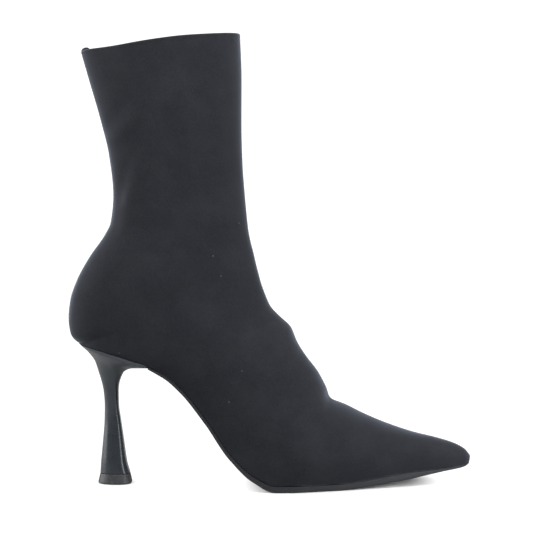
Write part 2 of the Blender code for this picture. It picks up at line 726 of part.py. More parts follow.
def build_heel(material):
    """The heel, from the seat that carries the upper down to the top piece."""
    shares = heel_shares()
    seat = []
    for share in shares:
        x = SEAT_BACK + share * (LIP_REACH - SEAT_BACK)
        seat.append((x, sole_edges(x)[1], feather_height(x) - GAP * feather_lean(x)))
    levels = [seat] + [heel_level(shares, row) for row in HEEL_SECTIONS]
    shrink = (HEEL_FOOT_SHARE - 1) * TOP_PIECE_DEPTH / 2
    levels.append(top_piece_level(shares, TOP_PIECE_HEIGHT + GAP, shrink))
    return loft_column("heel", levels, material)


def build_top_piece(material):
    """The small tread under the heel, which stands on the floor."""
    shares = heel_shares()
    taper = (HEEL_FOOT_SHARE - 1) * TOP_PIECE_DEPTH / 2 + TOP_PIECE_STEP
    levels = [
        top_piece_level(shares, TOP_PIECE_HEIGHT, taper - TOP_PIECE_STEP / 2),
        top_piece_level(shares, TOP_PIECE_HEIGHT - TOP_PIECE_STEP, taper),
        top_piece_level(shares, FLOOR_ARRIS * 2, 0.0),
        top_piece_level(shares, 0.0, -FLOOR_ARRIS),
    ]
    return loft_column("top_piece", levels, material)


def clear_scene():
    """Remove what the scene holds."""
    for thing in list(bpy.data.objects):
        bpy.data.objects.remove(thing, do_unlink=True)


def main():
    """Build the boot's pieces."""
    clear_scene()
    build_upper(make_material("knit_black", KNIT_BLACK))
    build_insole(make_material("lining_black", LINING_BLACK))
    build_outsole(make_material("sole_black", SOLE_BLACK))
    build_heel(make_material("lacquer_black", LACQUER_BLACK))
    build_top_piece(make_material("rubber_black", RUBBER_BLACK))


main()
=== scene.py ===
"""Looks of a heeled sock boot with a pointed toe, for the right foot.

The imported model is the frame: +X runs to the toe, +Z is up, +Y is the medial side, and the
origin is on the floor in the middle of the heel's top piece. All lengths are in metres.

Last holds the form that the boot is made on, in the same sizes and tables as the solids. Every
piece is drawn finely from it, laid in the place of its solid and dressed in its own finish.
"""

from __future__ import annotations

import bisect
import logging
import math
from abc import ABC, abstractmethod
from dataclasses import dataclass, field
from enum import Enum
from typing import ClassVar, Mapping, NamedTuple, Sequence, Union

import bmesh
import bpy
import numpy as np
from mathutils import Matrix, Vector

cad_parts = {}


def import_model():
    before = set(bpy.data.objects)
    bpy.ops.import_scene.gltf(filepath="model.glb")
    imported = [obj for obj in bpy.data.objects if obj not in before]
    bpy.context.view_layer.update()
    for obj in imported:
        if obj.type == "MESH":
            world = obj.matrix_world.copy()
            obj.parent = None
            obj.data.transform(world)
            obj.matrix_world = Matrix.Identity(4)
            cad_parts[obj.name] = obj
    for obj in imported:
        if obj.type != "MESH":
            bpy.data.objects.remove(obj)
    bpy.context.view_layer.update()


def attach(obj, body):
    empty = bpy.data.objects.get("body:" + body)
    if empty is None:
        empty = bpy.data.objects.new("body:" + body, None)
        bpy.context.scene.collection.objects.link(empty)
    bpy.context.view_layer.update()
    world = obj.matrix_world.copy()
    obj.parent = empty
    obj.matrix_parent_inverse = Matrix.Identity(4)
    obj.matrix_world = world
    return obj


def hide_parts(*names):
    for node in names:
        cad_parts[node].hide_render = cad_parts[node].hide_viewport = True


LOG = logging.getLogger("sock_boot")
BODY = "root"
MILLIMETRE = 0.001
WELD_DISTANCE = 1e-7
HALVINGS = 50
SLOPE_STEP = 0.0002

Colour = tuple[float, float, float]
Setting = Union[str, float, int, bool]


# The tables of the form

class FeatherPoint(NamedTuple):
    """A place on the feather line, where the upper meets the sole.

    along is a share of the foot's length, lift of the heel's height, spring of the toe's spring.
    """

    along: float
    lift: float
    spring: float


class SolePoint(NamedTuple):
    """The outsole's thickness at a place, as a share of its greatest thickness."""

    along: float
    share: float


class PlanPoint(NamedTuple):
    """The two edges of the sole seen from above, as shares of the named width."""

    size: str
    along: float
    lateral: float
    medial: float


class FootSection(NamedTuple):
    """A plane across the foot, from the feather line at foot up to the crest at top_x.

    rise is a share of the instep's height, and widest of the way up to the crest.
    """

    size: str
    foot: float
    top_x: float
    rise: float
    lateral: float
    medial: float
    ridge: float
    widest: float


class ShaftSection(NamedTuple):
    """A plane across the shaft, from its back line to its front line."""

    size: str
    back: float
    back_rise: float
    front: float
    front_rise: float
    half: float
    widest: float
    back_round: float
    front_round: float


class HeelSection(NamedTuple):
    """A level of the heel, whose lengths are shares of its seat or of its top piece."""

    size: str
    back: float
    back_z: float
    front: float
    front_z: float
    half: float
    breast: float


class Section(NamedTuple):
    """A section of the upper in metres."""

    bottom_x: float
    bottom_z: float
    top_x: float
    top_z: float
    lateral: float
    medial: float
    ridge: float
    widest: float
    low_round: float
    high_round: float


FEATHER_LINE = [
    FeatherPoint(-0.1005, 1.000, 0.00),
    FeatherPoint(-0.0380, 0.964, 0.00),
    FeatherPoint(0.0770, 0.867, 0.00),
    FeatherPoint(0.1440, 0.786, 0.00),
    FeatherPoint(0.1950, 0.670, 0.00),
    FeatherPoint(0.2620, 0.451, 0.00),
    FeatherPoint(0.3290, 0.205, 0.00),
    FeatherPoint(0.3940, 0.060, 0.00),
    FeatherPoint(0.4520, 0.000, 0.00),
    FeatherPoint(0.6200, 0.000, 0.00),
    FeatherPoint(0.7400, 0.000, 0.36),
    FeatherPoint(0.8320, 0.000, 0.70),
    FeatherPoint(0.9250, 0.000, 0.84),
    FeatherPoint(0.9650, 0.000, 0.95),
    FeatherPoint(0.9850, 0.000, 1.08),
    FeatherPoint(1.0000, 0.000, 1.32),
]

SOLE_LINE = [
    SolePoint(0.095, 0.30),
    SolePoint(0.135, 0.50),
    SolePoint(0.300, 0.55),
    SolePoint(0.400, 0.85),
    SolePoint(0.440, 1.00),
    SolePoint(0.660, 1.00),
    SolePoint(0.750, 1.12),
    SolePoint(0.820, 1.08),
    SolePoint(0.880, 0.70),
    SolePoint(0.930, 0.40),
    SolePoint(1.000, 0.26),
]

PLAN = [
    PlanPoint("seat", -0.1005, -0.500, 0.500),
    PlanPoint("seat", 0.0950, -0.495, 0.495),
    PlanPoint("seat", 0.1670, -0.478, 0.468),
    PlanPoint("ball", 0.2380, -0.322, 0.268),
    PlanPoint("ball", 0.3100, -0.382, 0.305),
    PlanPoint("ball", 0.3810, -0.461, 0.401),
    PlanPoint("ball", 0.4520, -0.498, 0.476),
    PlanPoint("ball", 0.5000, -0.493, 0.500),
    PlanPoint("ball", 0.5480, -0.458, 0.497),
    PlanPoint("ball", 0.6190, -0.398, 0.462),
    PlanPoint("ball", 0.6900, -0.330, 0.406),
    PlanPoint("ball", 0.7620, -0.258, 0.342),
    PlanPoint("ball", 0.8330, -0.184, 0.276),
    PlanPoint("ball", 0.9050, -0.104, 0.206),
    PlanPoint("ball", 0.9620, -0.034, 0.148),
    PlanPoint("ball", 1.0000, 0.008, 0.124),
]

FOOT_SECTIONS = [
    FootSection("ball", 1.0000, 1.0015, 0.062, 0.004, 0.128, 0.066, 0.45),
    FootSection("ball", 0.9930, 0.9960, 0.118, -0.005, 0.133, 0.065, 0.44),
    FootSection("ball", 0.9800, 0.9865, 0.190, -0.022, 0.144, 0.063, 0.42),
    FootSection("ball", 0.9490, 0.9600, 0.282, -0.064, 0.172, 0.058, 0.40),
    FootSection("ball", 0.8950, 0.9090, 0.376, -0.132, 0.230, 0.050, 0.38),
    FootSection("ball", 0.8190, 0.8430, 0.470, -0.218, 0.306, 0.042, 0.35),
    FootSection("ball", 0.7240, 0.7640, 0.646, -0.316, 0.396, 0.034, 0.32),
    FootSection("ball", 0.6330, 0.6950, 0.826, -0.408, 0.468, 0.029, 0.30),
    FootSection("ball", 0.5570, 0.6550, 0.922, -0.475, 0.512, 0.026, 0.28),
    FootSection("ball", 0.4950, 0.6210, 0.998, -0.516, 0.521, 0.024, 0.27),
    FootSection("ball", 0.4380, 0.5885, 1.200, -0.507, 0.490, 0.020, 0.28),
    FootSection("ball", 0.3810, 0.5595, 1.284, -0.474, 0.434, 0.014, 0.29),
    FootSection("ball", 0.3240, 0.5280, 1.250, -0.428, 0.388, 0.008, 0.31),
    FootSection("ball", 0.2620, 0.4976, 1.064, -0.390, 0.366, 0.004, 0.33),
    FootSection("heel", 0.1950, 0.4690, 0.871, -0.507, 0.493, 0.000, 0.35),
    FootSection("heel", 0.1190, 0.4430, 0.780, -0.504, 0.496, 0.000, 0.36),
    FootSection("heel", 0.0240, 0.4233, 0.755, -0.500, 0.500, 0.000, 0.37),
    FootSection("heel", -0.0480, 0.4138, 0.769, -0.500, 0.500, 0.000, 0.37),
    FootSection("heel", -0.1005, 0.4076, 0.804, -0.500, 0.500, 0.000, 0.38),
]

SHAFT_SECTIONS = [
    ShaftSection("heel", -0.1238, 0.031, 0.4029, 0.026, 0.500, 0.39, 2.2, 2.0),
    ShaftSection("heel", -0.1298, 0.084, 0.3967, 0.060, 0.500, 0.40, 2.2, 2.0),
    ShaftSection("heel", -0.1250, 0.144, 0.3914, 0.093, 0.493, 0.41, 2.2, 2.0),
    ShaftSection("heel", -0.1080, 0.208, 0.3862, 0.125, 0.479, 0.42, 2.2, 2.0),
    ShaftSection("heel", -0.0719, 0.290, 0.3795, 0.162, 0.454, 0.44, 2.2, 2.0),
    ShaftSection("ankle", -0.4600, 0.373, 0.6300, 0.210, 0.508, 0.46, 2.1, 2.0),
    ShaftSection("ankle", -0.4190, 0.413, 0.6230, 0.241, 0.502, 0.47, 2.1, 2.0),
    ShaftSection("ankle", -0.3980, 0.510, 0.6020, 0.360, 0.500, 0.49, 2.0, 2.0),
    ShaftSection("ankle", -0.4270, 0.639, 0.5850, 0.489, 0.521, 0.50, 2.0, 2.0),
    ShaftSection("collar", -0.4120, 0.762, 0.4860, 0.637, 0.443, 0.51, 2.0, 2.0),
    ShaftSection("collar", -0.4770, 0.884, 0.4870, 0.816, 0.473, 0.53, 2.0, 2.0),
    ShaftSection("collar", -0.5380, 1.000, 0.4770, 1.000, 0.500, 0.55, 2.0, 2.0),
]

HEEL_SECTIONS = [
    HeelSection("seat", 1.000, 1.000, 1.000, 0.872, 0.500, 0.99),
    HeelSection("seat", 0.957, 0.986, 1.000, 0.842, 0.494, 0.98),
    HeelSection("seat", 0.830, 0.958, 0.880, 0.838, 0.458, 0.93),
    HeelSection("seat", 0.682, 0.916, 0.680, 0.832, 0.384, 0.84),
    HeelSection("seat", 0.569, 0.873, 0.490, 0.826, 0.304, 0.74),
    HeelSection("seat", 0.510, 0.831, 0.310, 0.808, 0.236, 0.65),
    HeelSection("column", -0.487, 0.788, 0.204, 0.780, 0.470, 0.58),
    HeelSection("column", -0.432, 0.745, 0.134, 0.742, 0.374, 0.56),
    HeelSection("column", -0.386, 0.703, 0.090, 0.702, 0.308, 0.55),
    HeelSection("column", -0.352, 0.660, 0.076, 0.660, 0.262, 0.55),
    HeelSection("column", -0.319, 0.552, 0.085, 0.552, 0.245, 0.55),
    HeelSection("column", -0.327, 0.446, 0.144, 0.446, 0.264, 0.55),
    HeelSection("column", -0.367, 0.318, 0.218, 0.318, 0.316, 0.55),
    HeelSection("column", -0.402, 0.232, 0.264, 0.232, 0.354, 0.54),
    HeelSection("column", -0.434, 0.145, 0.320, 0.145, 0.396, 0.52),
]


# Curves and the last

class MonotoneCurve:
    """A smooth function through chosen values that never overshoots them."""

    def __init__(self, knots: Sequence[float], values: Sequence[float]) -> None:
        """Fit the curve.

        Args:
            knots: Rising places.
            values: The value at each place.
        """
        self.knots = list(knots)
        self.values = list(values)
        self.spans = [after - before for before, after in zip(knots, knots[1:])]
        self.tangents = self._tangents()

    def _tangents(self) -> list[float]:
        """Return a slope at each knot, level where the values turn.

        Returns:
            One slope for each knot.
        """
        pairs = zip(self.values, self.values[1:], self.spans)
        rises = [(after - before) / span for before, after, span in pairs]
        tangents = [rises[0]]
        for index in range(1, len(self.spans)):
            before, after = rises[index - 1], rises[index]
            if before * after <= 0:
                tangents.append(0.0)
                continue
            heavy = 2 * self.spans[index] + self.spans[index - 1]
            light = self.spans[index] + 2 * self.spans[index - 1]
            tangents.append((heavy + light) / (heavy / before + light / after))
        return tangents + [rises[-1]]

    def __call__(self, at: float) -> float:
        """Return the value at a place.

        Args:
            at: The place, held inside the knots.

        Returns:
            The curve's value there.
        """
        index = max(0, min(bisect.bisect_right(self.knots, at) - 1, len(self.spans) - 1))
        span = self.spans[index]
        t = max(0.0, min(1.0, (at - self.knots[index]) / span))
        start = (1 + 2 * t) * (1 - t) ** 2 * self.values[index]
        end = t * t * (3 - 2 * t) * self.values[index + 1]
        leave = t * (1 - t) ** 2 * span * self.tangents[index]
        arrive = t * t * (t - 1) * span * self.tangents[index + 1]
        return start + end + leave + arrive


def round_share(distance: float, length: float) -> float:
    """Return the share of full width at a distance from a rounded end.

    Args:
        distance: Distance from the end.
        length: Length over which the end is rounded.

    Returns:
        0 at the end and 1 past the rounded length.
    """
    short = max(0.0, 1.0 - distance / length)
    return math.sqrt(max(0.0, 1.0 - short * short))


def bell(distance: np.ndarray, spread: float) -> np.ndarray:
    """Return a soft bump.

    Args:
        distance: Distance from the bump's middle.
        spread: Distance at which it has fallen to about a third.

    Returns:
        1 in the middle, falling smoothly to 0.
    """
    return np.exp(-((distance / spread) ** 2))


def smooth_step(low: float, high: float, value: np.ndarray) -> np.ndarray:
    """Return a smooth rise from 0 at low to 1 at high.

    Args:
        low: Where the rise starts.
        high: Where it ends.
        value: The values to place on the rise.

    Returns:
        The share of the rise.
    """
    t = np.clip((value - low) / (high - low), 0.0, 1.0)
    return t * t * (3 - 2 * t)


@dataclass
class Last:
    """The form that the boot is made on, with the sizes that the solids have."""

    foot_length: float = 0.210
    ball_width: float = 0.076
    seat_width: float = 0.0486
    heel_width: float = 0.056
    instep_height: float = 0.045
    heel_height: float = 0.0833
    toe_spring: float = 0.0065
    boot_height: float = 0.2647
    collar_dip: float = 0.0100
    collar_depth: float = 0.0914
    collar_width: float = 0.060
    ankle_depth: float = 0.0768
    ankle_width: float = 0.048
    shaft_axis_x: float = 0.030
    sole_thickness: float = 0.0036
    gap: float = 0.0003
    toe_radius: float = 0.0050
    seat_round: float = 0.0240
    lower_round: float = 2.2
    crest_round: float = 2.0
    low_steps: int = 16
    high_steps: int = 44

    def __post_init__(self) -> None:
        """Work out the curves of the feather line, the sole and the upper's sections."""
        self.seat_back = FEATHER_LINE[0].along * self.foot_length
        self.toe_tip = FEATHER_LINE[-1].along * self.foot_length
        base = self.sole_thickness + self.gap
        lift = self.heel_height - base
        self.feather_height = MonotoneCurve(
            [row.along * self.foot_length for row in FEATHER_LINE],
            [base + row.lift * lift + row.spring * self.toe_spring for row in FEATHER_LINE],
        )
        self.sole_depth = MonotoneCurve(
            [row.along * self.foot_length for row in SOLE_LINE],
            [row.share * self.sole_thickness for row in SOLE_LINE],
        )
        plan_places = [row.along * self.foot_length for row in PLAN]
        self.plan_lateral = MonotoneCurve(
            plan_places, [row.lateral * self.width_of(row.size) for row in PLAN])
        self.plan_medial = MonotoneCurve(
            plan_places, [row.medial * self.width_of(row.size) for row in PLAN])
        foot = [self._foot_section(row) for row in FOOT_SECTIONS]
        sections = foot + [self._shaft_section(row, foot[-1]) for row in SHAFT_SECTIONS]
        self.travels = self._travels(sections)
        self.seat_travel = self.travels[len(foot) - 1]
        self.collar_travel = self.travels[-1]
        columns = zip(*sections)
        self.curves = [MonotoneCurve(self.travels, list(column)) for column in columns]
        self.bottom_x = self.curves[0]

    def width_of(self, size: str) -> float:
        """Return the width that a table's row follows."""
        widths = {"ball": self.ball_width, "heel": self.heel_width, "seat": self.seat_width}
        return widths[size]

    def _foot_section(self, row: FootSection) -> Section:
        """Return a row of the foot's table as a section in metres.

        Args:
            row: The row.

        Returns:
            The section.
        """
        width = self.width_of(row.size)
        bottom_x = row.foot * self.foot_length
        bottom_z = self.feather_height(bottom_x)
        return Section(
            bottom_x, bottom_z, row.top_x * self.foot_length,
            bottom_z + row.rise * self.instep_height,
            row.lateral * width, row.medial * width, row.ridge * width,
            row.widest, self.lower_round, self.crest_round)

    def _shaft_section(self, row: ShaftSection, seat: Section) -> Section:
        """Return a row of the shaft's table as a section in metres.

        Args:
            row: The row.
            seat: The foot's last section, which the shaft stands on.

        Returns:
            The section.
        """
        axis_x, depth, width = {
            "heel": (0.0, self.foot_length, self.heel_width),
            "ankle": (self.shaft_axis_x, self.ankle_depth, self.ankle_width),
            "collar": (self.shaft_axis_x, self.collar_depth, self.collar_width),
        }[row.size]
        back_top = self.boot_height - self.collar_dip
        half = row.half * width
        return Section(
            axis_x + row.back * depth,
            seat.bottom_z + row.back_rise * (back_top - seat.bottom_z),
            axis_x + row.front * depth,
            seat.top_z + row.front_rise * (self.boot_height - seat.top_z),
            -half, half, 0.0, row.widest, row.back_round, row.front_round)

    @staticmethod
    def _travels(sections: Sequence[Section]) -> list[float]:
        """Return how far each section is from the toe, as the mean way along both lines.

        Args:
            sections: The sections, from the toe on.

        Returns:
            One travel for each section.
        """
        travels = [0.0]
        for before, after in zip(sections, sections[1:]):
            low = math.hypot(after.bottom_x - before.bottom_x, after.bottom_z - before.bottom_z)
            high = math.hypot(after.top_x - before.top_x, after.top_z - before.top_z)
            travels.append(travels[-1] + (low + high) / 2)
        return travels

    def travel_at(self, place: float) -> float:
        """Return the travel at a place that counts sections from the toe."""
        index = min(int(place), len(self.travels) - 2)
        start, end = self.travels[index:index + 2]
        return start + (place - index) * (end - start)

    def travel_at_foot(self, x: float) -> float:
        """Return the travel of the section that meets the feather line at x.

        Args:
            x: The place on the feather line.

        Returns:
            The travel, found by halving.
        """
        low, high = 0.0, self.seat_travel
        for _ in range(HALVINGS):
            middle = (low + high) / 2
            if self.bottom_x(middle) > x:
                low = middle
            else:
                high = middle
        return (low + high) / 2

    def section_at(self, travel: float) -> Section:
        """Return the section at any travel."""
        return Section(*[curve(travel) for curve in self.curves])

    def toe_share(self, x: float) -> float:
        """Return how much of the full width the rounded toe has left at x."""
        return round_share(self.toe_tip - x, self.toe_radius)

    def seat_share(self, x: float) -> float:
        """Return how much of the full width the rounded seat has at x."""
        return round_share(x - self.seat_back, self.seat_round)

    def plan_middle(self, x: float) -> float:
        """Return the middle of the sole at x."""
        return (self.plan_lateral(x) + self.plan_medial(x)) / 2

    def sole_edges(self, x: float) -> tuple[float, float]:
        """Return the lateral and medial edges of the sole at x, with both ends rounded.

        Args:
            x: The place along the sole.

        Returns:
            Their y values.
        """
        middle = self.plan_middle(x)
        share = self.toe_share(x) * self.seat_share(x)
        lateral = middle + (self.plan_lateral(x) - middle) * share
        return lateral, middle + (self.plan_medial(x) - middle) * share

    def feather_lean(self, x: float) -> float:
        """Return how much longer an upright cut through a layer is than the layer is thick."""
        rise = self.feather_height(x + SLOPE_STEP) - self.feather_height(x - SLOPE_STEP)
        return math.hypot(1.0, rise / (2 * SLOPE_STEP))

    def _side(self, section: Section, edge: float, travel: float) -> np.ndarray:
        """Return one side of a section, from its foot or back line up to its crest.

        Args:
            section: The section.
            edge: Its widest edge on this side.
            travel: Its travel.

        Returns:
            Rows of (share of the way up, y).
        """
        x = section.bottom_x
        on_foot = travel <= self.seat_travel
        middle = self.plan_middle(x) if on_foot else 0.0
        toe = self.toe_share(x) if on_foot else 1.0
        sole_share = 0.0
        if on_foot:
            plan = self.plan_lateral(x) if edge < middle else self.plan_medial(x)
            seat = self.seat_share(x) if travel < self.seat_travel else 0.0
            sole_share = min(1.0, max(0.0, (plan - middle) * seat / (edge - middle)))
        crest = middle + (section.ridge - middle) * toe
        wide = middle + (edge - middle) * toe
        low_power, high_power = 2 / section.low_round, 2 / section.high_round
        first = math.asin(sole_share ** (1 / low_power))
        reach = math.cos(first) ** low_power
        low = np.linspace(first, math.pi / 2, self.low_steps, endpoint=False)
        low_along = section.widest * (1 - np.cos(low) ** low_power / reach)
        low_y = middle + (wide - middle) * np.sin(low) ** low_power
        high = np.linspace(0.0, math.pi / 2, self.high_steps + 1)
        cosine = np.clip(np.cos(high), 0.0, 1.0)
        high_along = section.widest + (1 - section.widest) * np.sin(high) ** high_power
        high_y = crest + (wide - crest) * cosine ** high_power
        return np.stack([np.append(low_along, high_along), np.append(low_y, high_y)], axis=1)

    def ring(self, travel: float) -> np.ndarray:
        """Return a section's points, from the lateral foot over the crest to the medial foot.

        Args:
            travel: How far the section is from the toe.

        Returns:
            The points, one to a row.
        """
        section = self.section_at(travel)
        lateral = self._side(section, section.lateral, travel)
        medial = self._side(section, section.medial, travel)
        both = np.concatenate([lateral, medial[-2::-1]])
        along = both[:, 0]
        x = section.bottom_x + along * (section.top_x - section.bottom_x)
        z = section.bottom_z + along * (section.top_z - section.bottom_z)
        return np.stack([x, both[:, 1], z], axis=1)

    def feather_pairs(self, travels: Sequence[float], inset: float) -> np.ndarray:
        """Return the two edges of the sole at each travel, moved inward in plan.

        Args:
            travels: Travels from the toe to the seat's back.
            inset: How far the edges are moved in.

        Returns:
            An array of (lateral, medial) points for each travel.
        """
        places = np.array([self.bottom_x(travel) for travel in travels])
        heights = np.array([self.feather_height(x) for x in places])
        edges = np.array([self.sole_edges(x) for x in places])
        lateral = np.stack([places, edges[:, 0], heights], axis=1)
        medial = np.stack([places, edges[:, 1], heights], axis=1)
        loop = np.concatenate([medial[:0:-1], lateral[:-1]])
        along = np.roll(loop, -1, axis=0) - np.roll(loop, 1, axis=0)
        inward = np.stack([along[:, 1], -along[:, 0]], axis=1)
        inward /= np.linalg.norm(inward, axis=1)[:, None]
        moved = loop.copy()
        moved[:, :2] += inward * inset
        moved[:, 2] = [self.feather_height(x) for x in moved[:, 0]]
        count = len(places)
        back, tip = moved[0], moved[count - 1]
        inner_medial = np.concatenate([[tip], moved[count - 2:0:-1], [back]])
        inner_lateral = np.concatenate([[tip], moved[count:], [back]])
        return np.stack([inner_lateral, inner_medial], axis=1)


# Meshes

class Skin:
    """A mesh that is gathered from grids of points and welded where they coincide."""

    def __init__(self) -> None:
        """Start with nothing."""
        self.points: list[np.ndarray] = []
        self.places: list[np.ndarray] = []
        self.loops: list[list[int]] = []
        self.slots: list[int] = []
        self.count = 0

    def _add(self, points: np.ndarray, places: np.ndarray | None) -> int:
        """Keep points and return the index of the first.

        Args:
            points: The points.
            places: Where each lies on the cloth, if it does.

        Returns:
            The index.
        """
        flat = points.reshape(-1, 3)
        self.points.append(flat)
        self.places.append(np.zeros_like(flat) if places is None else places.reshape(-1, 3))
        start = self.count
        self.count += len(flat)
        return start

    def grid(self, points: np.ndarray, slot: int = 0, places: np.ndarray | None = None) -> None:
        """Add a grid of points, with a quad in each of its cells.

        Args:
            points: Points in rows and columns.
            slot: Material slot of its faces.
            places: Where each point lies on the cloth.
        """
        start = self._add(points, places)
        rows, columns = points.shape[:2]
        for row in range(rows - 1):
            first = start + row * columns
            for column in range(first, first + columns - 1):
                self.loops.append([column, column + columns, column + columns + 1, column + 1])
                self.slots.append(slot)

    def cap(self, ring: np.ndarray, slot: int = 0) -> None:
        """Close a ring of points with one face.

        Args:
            ring: The ring's points.
            slot: Material slot of the face.
        """
        start = self._add(ring, None)
        self.loops.append(list(range(start, start + len(ring))))
        self.slots.append(slot)

    def _welded(self) -> tuple[np.ndarray, np.ndarray]:
        """Return the points that remain, and for each point which of them it is.

        Returns:
            The points and the index of each point's own.
        """
        points = np.concatenate(self.points)
        keys = np.round(points / WELD_DISTANCE).astype(np.int64)
        _, first, which = np.unique(keys, axis=0, return_index=True, return_inverse=True)
        return points[first], which.reshape(-1)

    def mesh(self, name: str) -> bpy.types.Mesh:
        """Make the welded mesh, with each corner's place on the cloth in an attribute.

        Args:
            name: The mesh's name.

        Returns:
            The mesh, with the faces as they were added.
        """
        points, which = self._welded()
        places = np.concatenate(self.places)
        faces, corners, slots = [], [], []
        for loop, slot in zip(self.loops, self.slots):
            kept: list[int] = []
            seen: set[int] = set()
            for corner in loop:
                if which[corner] not in seen:
                    seen.add(which[corner])
                    kept.append(corner)
            if len(kept) > 2:
                faces.append([int(which[corner]) for corner in kept])
                corners.extend(kept)
                slots.append(slot)
        mesh = bpy.data.meshes.new(name)
        mesh.from_pydata(points.tolist(), [], faces)
        mesh.polygons.foreach_set("material_index", slots)
        cloth = mesh.attributes.new(CLOTH_PLACE, "FLOAT_VECTOR", "CORNER")
        cloth.data.foreach_set("vector", places[corners].astype(np.float32).ravel())
        return mesh

    def normals(self, shape: tuple[int, int]) -> np.ndarray:
        """Return the outward direction at each point of the only grid.

        Args:
            shape: The grid's rows and columns.

        Returns:
            Directions in rows and columns.
        """
        mesh = self.mesh("draft")
        directions = np.zeros(len(mesh.vertices) * 3)
        mesh.vertices.foreach_get("normal", directions)
        bpy.data.meshes.remove(mesh)
        _, which = self._welded()
        return directions.reshape(-1, 3)[which].reshape(*shape, 3)


CLOTH_PLACE = "cloth_place"


@dataclass
class Piece(ABC):
    """A sub-assembly of the boot, which knows its name, its solid and its finish."""

    last: Last

    name: ClassVar[str] = "piece"
    nodes: ClassVar[tuple[str, ...]] = ()
    slot: ClassVar[str] = ""
    crisp_degrees: ClassVar[float] = 50.0
    finishes: ClassVar[tuple[Finish, ...]] = ()

    @abstractmethod
    def skin(self) -> Skin:
        """Return the piece's surface."""

    def build(self) -> bpy.types.Object:
        """Make the piece, lay it in its solid's place and report it.

        Returns:
            The object.
        """
        mesh = self.skin().mesh(self.name)
        body = bmesh.new()
        body.from_mesh(mesh)
        bmesh.ops.recalc_face_normals(body, faces=body.faces)
        open_edges = sum(not edge.is_manifold for edge in body.edges)
        body.to_mesh(mesh)
        body.free()
        mesh.shade_smooth()
        mesh.set_sharp_from_angle(angle=math.radians(self.crisp_degrees))
        for finish in self.finishes:
            mesh.materials.append(finish.make())
        piece = bpy.data.objects.new(self.name, mesh)
        bpy.context.scene.collection.objects.link(piece)
        if self.nodes:
            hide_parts(*self.nodes)
        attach(piece, BODY)
        mesh.calc_loop_triangles()
        LOG.info("%s: %d triangles, %d open edges", self.name, len(mesh.loop_triangles), open_edges)
        return piece


# Shader nodes drawn from expressions

class Value:
    """A socket of a node tree, with the operators that shader maths uses."""

    def __init__(self, draft: NodeDraft, socket: bpy.types.NodeSocket) -> None:
        """Wrap a socket.

        Args:
            draft: The tree that the socket is in.
            socket: The socket.
        """
        self.draft = draft
        self.socket = socket

    def _math(self, operation: str, first: Operand, second: Operand = 0.0) -> Value:
        """Return a Math node's result."""
        return self.draft.add(
            "ShaderNodeMath", {"operation": operation}, {0: first, 1: second})

    def __add__(self, other: Operand) -> Value:
        """Return the sum."""
        return self._math("ADD", self, other)

    def __radd__(self, other: Operand) -> Value:
        """Return the sum, from the right."""
        return self._math("ADD", other, self)

    def __sub__(self, other: Operand) -> Value:
        """Return the difference."""
        return self._math("SUBTRACT", self, other)

    def __rsub__(self, other: Operand) -> Value:
        """Return the difference, from the right."""
        return self._math("SUBTRACT", other, self)

    def __mul__(self, other: Operand) -> Value:
        """Return the product."""
        return self._math("MULTIPLY", self, other)

    def __rmul__(self, other: Operand) -> Value:
        """Return the product, from the right."""
        return self._math("MULTIPLY", other, self)

    def sine(self) -> Value:
        """Return the sine of an angle in radians."""
        return self._math("SINE", self)

    def larger(self, other: Operand) -> Value:
        """Return the larger of the two."""
        return self._math("MAXIMUM", self, other)

    def rise(self, low: float, high: float) -> Value:
        """Return a smooth rise from 0 at low to 1 at high.

        Args:
            low: Where the rise starts.
            high: Where it ends. It may lie below low, and the rise is then a fall.

        Returns:
            The share of the rise, held between 0 and 1.
        """
        return self.draft.add(
            "ShaderNodeMapRange", {"interpolation_type": "SMOOTHSTEP"},
            {"Value": self, "From Min": low, "From Max": high})


Operand = Union[Value, float]
Inputs = Mapping[Union[str, int], object]


